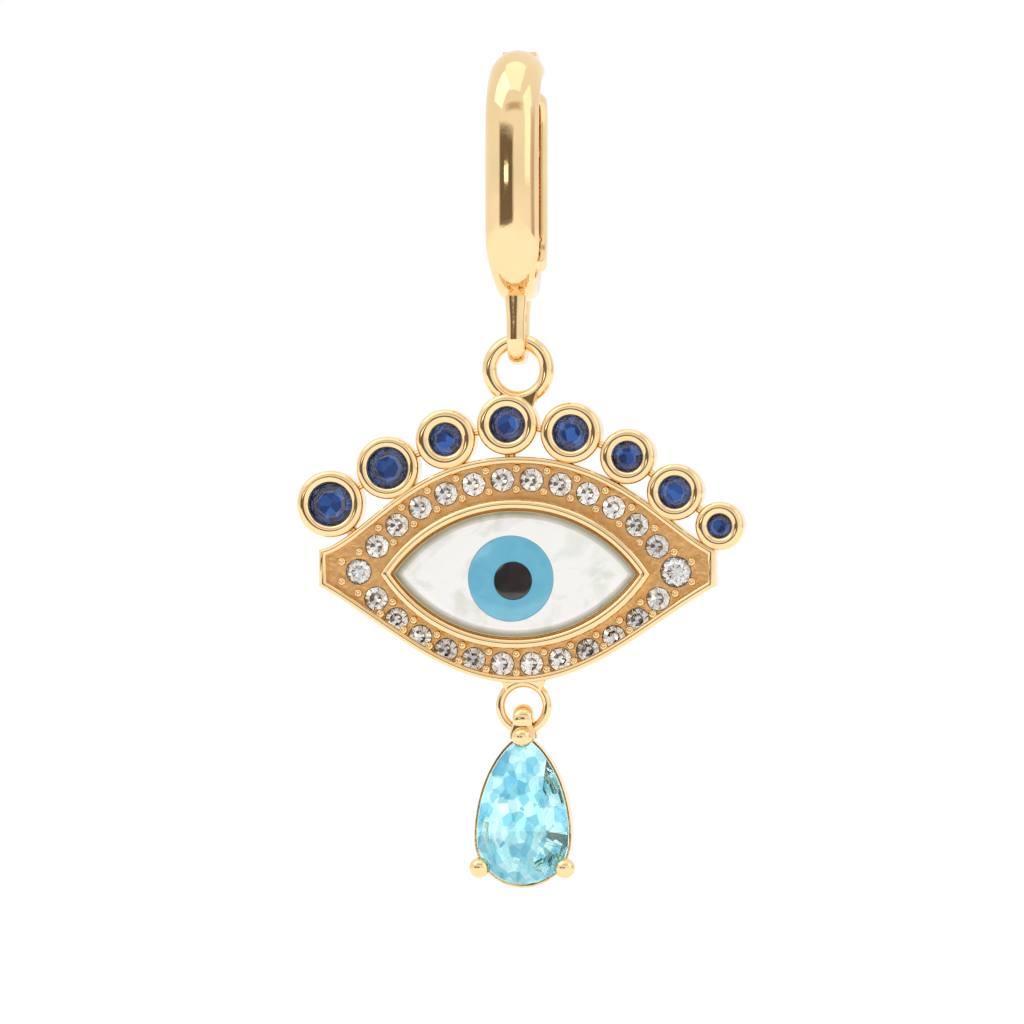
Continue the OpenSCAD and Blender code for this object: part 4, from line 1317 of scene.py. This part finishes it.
class CHARM_OT_lash_cups(bpy.types.Operator):
    """Turns the eight lash cups, each with one rounded wall around its sapphire"""

    bl_idname = "charm.lash_cups"
    bl_label = "Lash Cups"

    def execute(self, context):
        for i in range(1, LASHES + 1):
            place = lash(i)
            outline = self.outline(place)
            cup = lathe_y(f"cup_{i}", place.middle, outline, segments=112, closed=True, sharp=40)
            if i == CROWN:
                groove = torus_y("groove", (RING.x, RING.z), RING_R, RING_WIRE + 0.06, 140, 32)
                combine(cup, groove, "DIFFERENCE", 40)
            set_piece(cup, "eye", [f"lash_cup_{i}"], material("gold"))
        return {"FINISHED"}

    def outline(self, place):
        """Outline of a cup as (radius, y): its back, its side, the rounded wall and the stone's seat."""
        cup_r, stone_r, back = place.cup_r, place.stone_r, place.back
        seat_y, mouth = stone_seat_y(place), opening(place)
        ease, room, dome, hole = 0.06, 0.035, 0.24, 0.5 * mouth
        wall = (cup_r - mouth) / 2
        points = [(hole, back), (cup_r - ease, back), (cup_r, back - ease), (cup_r, 0.0)]
        for k in range(17):
            a = math.pi * k / 16
            points.append((cup_r - wall + wall * math.cos(a), place.front + dome - dome * math.sin(a)))
        return points + [(mouth, seat_y - 0.05), (stone_r + room, seat_y - 0.04),
                         (stone_r + room, seat_y + 0.1 * stone_r), (hole, seat_y + 0.62 * stone_r)]


class CHARM_OT_sapphires(bpy.types.Operator):
    """Cuts the eight round sapphires"""

    bl_idname = "charm.sapphires"
    bl_label = "Sapphires"

    def execute(self, context):
        sizes = context.scene.charm_sizes
        for i in range(1, LASHES + 1):
            place, turn = lash(i), 11 + 17 * i
            at, y, r = place.middle, stone_seat_y(place), place.stone_r
            stone = round_stone(f"sapphire_{i}", at, y, r, sizes, turn)
            set_piece(stone, "eye", [f"lash_sapphire_{i}"], material("sapphire"))
        return {"FINISHED"}


class CHARM_OT_webs(bpy.types.Operator):
    """Joins the cups to each other and to the rim with solder webs"""

    bl_idname = "charm.webs"
    bl_label = "Solder Webs"

    def execute(self, context):
        cups = [lash(i) for i in range(1, LASHES + 1)]
        bars, bite = [], 0.14
        for a, b in zip(cups, cups[1:]):
            gap_end = math.dist(a.middle, b.middle) - b.cup_r
            bars.append(self.bar(a.middle, b.middle, a.cup_r - bite, gap_end + bite, 0.24))
        for cup in cups:
            foot = self.nearest_on_lid(cup.middle)
            into_rim = math.dist(foot, cup.middle) + 0.2
            bars.append(self.bar(cup.middle, foot, cup.cup_r - bite, into_rim, 0.34))
        set_piece(join("solder_webs", bars), "eye", ["lash_webs"], material("gold"))
        return {"FINISHED"}

    def nearest_on_lid(self, at):
        """The point of the upper lid that is nearest to `at`, found in steps of 0.02."""
        tries = [at[0] + 0.02 * k for k in range(-150, 151)]
        return min(((x, EYE_Z + upper_lid(x)) for x in tries if abs(x) < HALF_EYE),
                   key=lambda place: math.dist(place, at))

    def bar(self, a, b, start, stop, half):
        """A rounded bar of solder on the line from a towards b, waisted in its middle."""
        along = (Vector(b) - Vector(a)).normalized()
        across = Vector((-along.y, along.x))
        rings = []
        for k in range(9):
            t = k / 8
            at = Vector(a) + along * (start + (stop - start) * t)
            waist = 1 - 0.22 * math.sin(math.pi * t)
            ring = []
            for j in range(24):
                c = 2 * math.pi * j / 24
                p = at + across * (half * waist * math.cos(c))
                ring.append((p.x, 0.4 * waist * math.sin(c), p.y))
            rings.append(ring)
        return loft("bar", rings)


# ---- Drop ----------------------------------------------------------------------------------------


def pear_half(s):
    return PEAR_R * max(0.0, 1 - s * s) ** 0.66


def pear_points(grow=0.0, low_steps=48, side_steps=24):
    """The pear's outline (x, z) from its right flank, round the bottom and over the tip."""
    points = []
    tip = PEAR_H - PEAR_R + grow
    for i in range(low_steps + 1):
        a = math.pi * i / low_steps
        points.append((PEAR_MID.x + (PEAR_R + grow) * math.cos(a),
                       PEAR_MID.z - (PEAR_R + grow) * math.sin(a)))
    left = []
    for i in range(1, side_steps):
        s = math.sin(math.pi / 2 * i / side_steps)
        left.append((pear_half(s) + grow * math.cos(math.pi / 2 * i / side_steps), tip * s))
    points += [(PEAR_MID.x - w, PEAR_MID.z + z) for w, z in left]
    points.append((PEAR_MID.x, PEAR_MID.z + tip))
    points += [(PEAR_MID.x + w, PEAR_MID.z + z) for w, z in reversed(left)]
    return points


def pear_ring(grow, y):
    return [(x, y, z) for x, z in pear_points(grow)]


class CHARM_OT_drop_metal(bpy.types.Operator):
    """Builds the drop's loop, the rails of its basket and the three ball prongs"""

    bl_idname = "charm.drop_metal"
    bl_label = "Drop Setting"

    def execute(self, context):
        set_piece(self.hanger(), "drop", ["drop_hanger"], material("gold"))
        rails = []
        wire, soft = 0.12, 0.03
        for low, high, grow in ((GIRDLE_Y, 0.25, 0.02), (0.75, BASKET_BACK, -0.04)):
            section = [(grow, low + soft), (grow + soft, low), (grow + wire - soft, low),
                       (grow + wire, low + soft), (grow + wire, high - soft),
                       (grow + wire - soft, high), (grow + soft, high), (grow, high - soft)]
            rails.append(loft("rail", [pear_ring(g, y) for g, y in section], closed=True))
        basket = join("gallery_wires", rails)
        set_piece(basket, "drop", ["drop_basket"], material("gold"))
        for side in ("top", "left", "right"):
            prong = self.prong(f"drop_claw_{side}", side)
            set_piece(prong, "drop", [f"drop_claw_{side}"], material("gold"))
        return {"FINISHED"}

    def hanger(self):
        """The loop that the drop hangs by: thin sides, a thick domed top and wider feet."""
        low, high = cad_box("drop_hanger")
        x0 = (low.x + high.x) / 2
        hole_r, side_t, top_t = 0.31, 0.34, 0.6
        top_z = high.z - top_t - hole_r
        feet = PEAR_MID.z + PEAR_H - PEAR_R - 0.02
        legs = [feet + (top_z - feet) * i / 8 for i in range(8)]
        path = [(-90.0, z) for z in legs] + [(-90 - 180 * i / 36, top_z) for i in range(37)]
        path += [(-270.0, z) for z in reversed(legs)]
        rings = []
        for angle, z in path:
            over = max(0.0, -math.cos(math.radians(angle)))
            half = 0.42 + 0.15 * smoothstep((feet + 0.8 - z) / 0.65)
            outer_r, crown = hole_r + side_t + (top_t - side_t) * over, 0.12 + 0.24 * over
            section = dome_points(outer_r, crown, half, 0.95)
            section += [(hole_r + 0.05, half), (hole_r, half - 0.05),
                        (hole_r, -half + 0.05), (hole_r + 0.05, -half)]
            rings.append([swung(angle, z, r, x, x0) for r, x in section])
        return loft("drop_loop", rings, sharp=40)

    def prong(self, node, side):
        """A ball prong; the two at the bottom have a post back to the lower rail."""
        low, high = cad_box(node)
        ball_r, post_r, y = 0.47, 0.2, -0.62
        if side == "top":
            at = (PEAR_MID.x, PEAR_MID.z + PEAR_H - PEAR_R + 0.06)
            limit, back = 0.0, [(0.0, y + ball_r)]
        else:
            at = (low.x + ball_r if side == "left" else high.x - ball_r, low.z + ball_r)
            limit = math.asin(post_r / ball_r)
            back = [(post_r, y + math.sqrt(ball_r ** 2 - post_r ** 2)), (post_r, BASKET_BACK - 0.05),
                    (post_r - 0.05, BASKET_BACK), (0.0, BASKET_BACK)]
        arc = []
        for k in range(25):
            a = math.pi - (math.pi - limit) * k / 24
            arc.append((ball_r * math.sin(a), y + ball_r * math.cos(a)))
        return lathe_y(f"prong_{side}", at, arc + back, segments=56)


def pear_girdle(mains=12):
    """Girdle points for the facets: a main at the tip and one at the bottom."""
    fine = pear_points(0.0, 96, 96)
    lengths = [0.0]
    for a, b in zip(fine, fine[1:] + fine[:1]):
        lengths.append(lengths[-1] + math.hypot(b[0] - a[0], b[1] - a[1]))
    tip_index = max(range(len(fine)), key=lambda i: fine[i][1])
    total, start = lengths[-1], lengths[tip_index]
    girdle = []
    for j in range(2 * mains):
        want = (start + total * j / (2 * mains)) % total
        k = max(i for i in range(len(fine)) if lengths[i] <= want + 1e-9)
        a, b = fine[k], fine[(k + 1) % len(fine)]
        t = (want - lengths[k]) / max(1e-9, lengths[k + 1] - lengths[k])
        girdle.append((a[0] + (b[0] - a[0]) * t, a[1] + (b[1] - a[1]) * t))
    return girdle


class CHARM_OT_topaz(bpy.types.Operator):
    """Cuts the pear-shaped blue topaz"""

    bl_idname = "charm.topaz"
    bl_label = "Topaz"

    def execute(self, context):
        middle = (PEAR_MID.x, PEAR_MID.z + 0.35)
        culet = (PEAR_MID.x, PEAR_MID.z + 0.3)
        table, girdle_t, crown, pavilion = 0.56, 0.12, 0.62, 1.55
        stone = cut_stone("pear_topaz", pear_girdle(), table, middle, GIRDLE_Y,
                          girdle_t, crown, pavilion, culet)
        set_piece(stone, "drop", ["topaz"], material("topaz"))
        return {"FINISHED"}


# ---- Studio --------------------------------------------------------------------------------------


def look_at(obj, target):
    obj.rotation_mode = "QUATERNION"
    obj.rotation_quaternion = (Vector(target) - obj.location).to_track_quat("-Z", "Y")


def soft_box(name, place, size, power):
    light = bpy.data.lights.new(name, "AREA")
    light.shape = "RECTANGLE"
    light.size, light.size_y = size
    light.energy = power
    obj = bpy.data.objects.new(name, light)
    bpy.context.scene.collection.objects.link(obj)
    obj.location = place
    look_at(obj, (0, 0, EYE_Z * MM))
    return obj


def card_paint(name, width, height, shade, edge):
    """Shade in the middle of a card, fading to white at its edges, so that it leaves no hard line."""
    paint = Recipe(name + "_card").set(Base_Color=(0.0, 0.0, 0.0, 1.0), Roughness=1.0,
                                       Specular_IOR_Level=0.0, Emission_Strength=1.0)
    link, nodes = paint.tree.links.new, paint.tree.nodes
    scale = nodes.new("ShaderNodeMapping")
    scale.inputs["Scale"].default_value = (2 * MM / width, 2 * MM / height, 1.0)
    link(paint.place, scale.inputs["Vector"])
    split = nodes.new("ShaderNodeSeparateXYZ")
    link(scale.outputs["Vector"], split.inputs["Vector"])
    sides = []
    for axis in "XY":
        size = nodes.new("ShaderNodeMath")
        size.operation = "ABSOLUTE"
        link(split.outputs[axis], size.inputs[0])
        sides.append(size.outputs["Value"])
    most = nodes.new("ShaderNodeMath")
    most.operation = "MAXIMUM"
    link(sides[0], most.inputs[0])
    link(sides[1], most.inputs[1])
    warm_shade = (shade * 1.25, shade, shade * 0.78, 1.0)
    paint.feed("Emission Color", paint.ramp(most.outputs["Value"], [
        (edge, warm_shade), (1.0, (1.0, 1.0, 1.0, 1.0))]))
    return paint.material


def card(name, place, width, height, shade, edge=0.7):
    """A card beside the set that the gold and the stones mirror; the camera doesn't see it."""
    mesh = bpy.data.meshes.new(name)
    mesh.from_pydata([(-width / 2, -height / 2, 0), (width / 2, -height / 2, 0),
                      (width / 2, height / 2, 0), (-width / 2, height / 2, 0)], [], [(0, 1, 2, 3)])
    obj = bpy.data.objects.new(name, mesh)
    bpy.context.scene.collection.objects.link(obj)
    obj.location = place
    look_at(obj, (0, 0, EYE_Z * MM))
    mesh.materials.append(card_paint(name, width, height, shade, edge))
    obj.visible_camera = False
    obj.visible_diffuse = False
    obj.visible_shadow = False
    return obj


def around(azimuth, elevation, distance):
    """A place round the eye: azimuth 0 is in front of it, positive to the right."""
    a, e = math.radians(azimuth), math.radians(elevation)
    return (distance * math.sin(a) * math.cos(e), -distance * math.cos(a) * math.cos(e),
            EYE_Z * MM + distance * math.sin(e))


class CHARM_OT_stage(bpy.types.Operator):
    """Sets the pale floor, the soft lights, the cards and the camera"""

    bl_idname = "charm.stage"
    bl_label = "Studio Stage"

    def execute(self, context):
        scene = context.scene
        scene.view_settings.view_transform = "Standard"
        world = bpy.data.worlds.new("studio_sky")
        scene.world = world
        world.use_nodes = True
        world.node_tree.nodes["Background"].inputs["Color"].default_value = (1.0, 1.0, 1.0, 1.0)
        world.node_tree.nodes["Background"].inputs["Strength"].default_value = 1.0
        floor = bpy.data.meshes.new("floor")
        z = CAD_LOW.z - 12 * MM
        reach = 40.0  # metres, so that its edge is out of every view
        corners = [(-reach, -reach, z), (reach, -reach, z), (reach, reach, z), (-reach, reach, z)]
        floor.from_pydata(corners, [], [(0, 1, 2, 3)])
        ground = bpy.data.objects.new("floor", floor)
        scene.collection.objects.link(ground)
        floor.materials.append(material("paper"))
        soft_box("key_left", around(-65, 50, 0.5), (0.35, 0.35), 0.30)
        soft_box("fill_right", around(75, 25, 0.5), (0.3, 0.4), 0.16)
        soft_box("top_light", around(0, 85, 0.45), (0.4, 0.4), 0.20)
        card("left_card", around(-21, 3, 0.35), 0.44, 0.15, 0.15, 0.72)
        card("lens_card", around(7, 0, 0.60), 0.12, 0.12, 0.06, 0.6)
        card("glint_card", around(-20, 5.5, 0.31), 0.10, 0.018, 3.0, 0.3)
        card("right_card", around(100, -6, 0.35), 0.20, 0.40, 0.45, 0.2)
        card("high_card", around(10, 38, 0.35), 0.50, 0.10, 0.50, 0.3)
        lens = bpy.data.cameras.new("camera")
        camera = bpy.data.objects.new("camera", lens)
        scene.collection.objects.link(camera)
        self.aim(camera, lens)
        scene.camera = camera
        return {"FINISHED"}

    def aim(self, camera, lens):
        """A long lens a little to the right of the eye, level with the middle of the charm."""
        turn = math.radians(7)
        distance, frame_w = 0.42, 46.08 * MM  # metres; frame_w is the width in view at the charm
        target = Vector((-0.282 * MM, 0.0, -19.63 * MM))
        camera.location = target + distance * Vector((math.sin(turn), -math.cos(turn), 0.0))
        look_at(camera, target)
        lens.sensor_width = 36.0
        lens.lens = lens.sensor_width / 2 / (frame_w / 2 / distance)
        lens.clip_start, lens.clip_end = 0.005, 20.0


# ---- Panel and running ---------------------------------------------------------------------------


STEPS = ("stage", "hoop", "gate", "strap_loop", "upper_ring", "lower_ring", "eye_frame", "bezel", "inlay",
         "lash_cups", "sapphires", "webs", "diamonds", "beads", "drop_metal", "topaz")


class CHARM_PT_panel(bpy.types.Panel):
    """Lists the steps that build the charm, with its settings"""

    bl_idname = "CHARM_PT_panel"
    bl_label = "Evil Eye Charm"
    bl_space_type = "VIEW_3D"
    bl_region_type = "UI"
    bl_category = "Charm"

    def draw(self, context):
        for step in STEPS:
            self.layout.operator(f"charm.{step}")
        for group in (context.scene.charm_sizes, context.scene.charm_colours):
            for name in group.__annotations__:
                self.layout.prop(group, name)


CLASSES = (CharmSizes, CharmColours, CHARM_OT_stage, CHARM_OT_hoop, CHARM_OT_gate, CHARM_OT_strap_loop,
           CHARM_OT_upper_ring, CHARM_OT_lower_ring, CHARM_OT_eye_frame, CHARM_OT_bezel, CHARM_OT_inlay,
           CHARM_OT_lash_cups, CHARM_OT_sapphires, CHARM_OT_webs, CHARM_OT_diamonds, CHARM_OT_beads,
           CHARM_OT_drop_metal, CHARM_OT_topaz, CHARM_PT_panel)


def register():
    for cls in CLASSES:
        bpy.utils.register_class(cls)
    bpy.types.Scene.charm_sizes = PointerProperty(type=CharmSizes)
    bpy.types.Scene.charm_colours = PointerProperty(type=CharmColours)


def unregister():
    del bpy.types.Scene.charm_sizes
    del bpy.types.Scene.charm_colours
    for cls in reversed(CLASSES):
        bpy.utils.unregister_class(cls)


def main():
    register()
    for step in STEPS:
        getattr(bpy.ops.charm, step)()


if __name__ == "__main__":
    main()
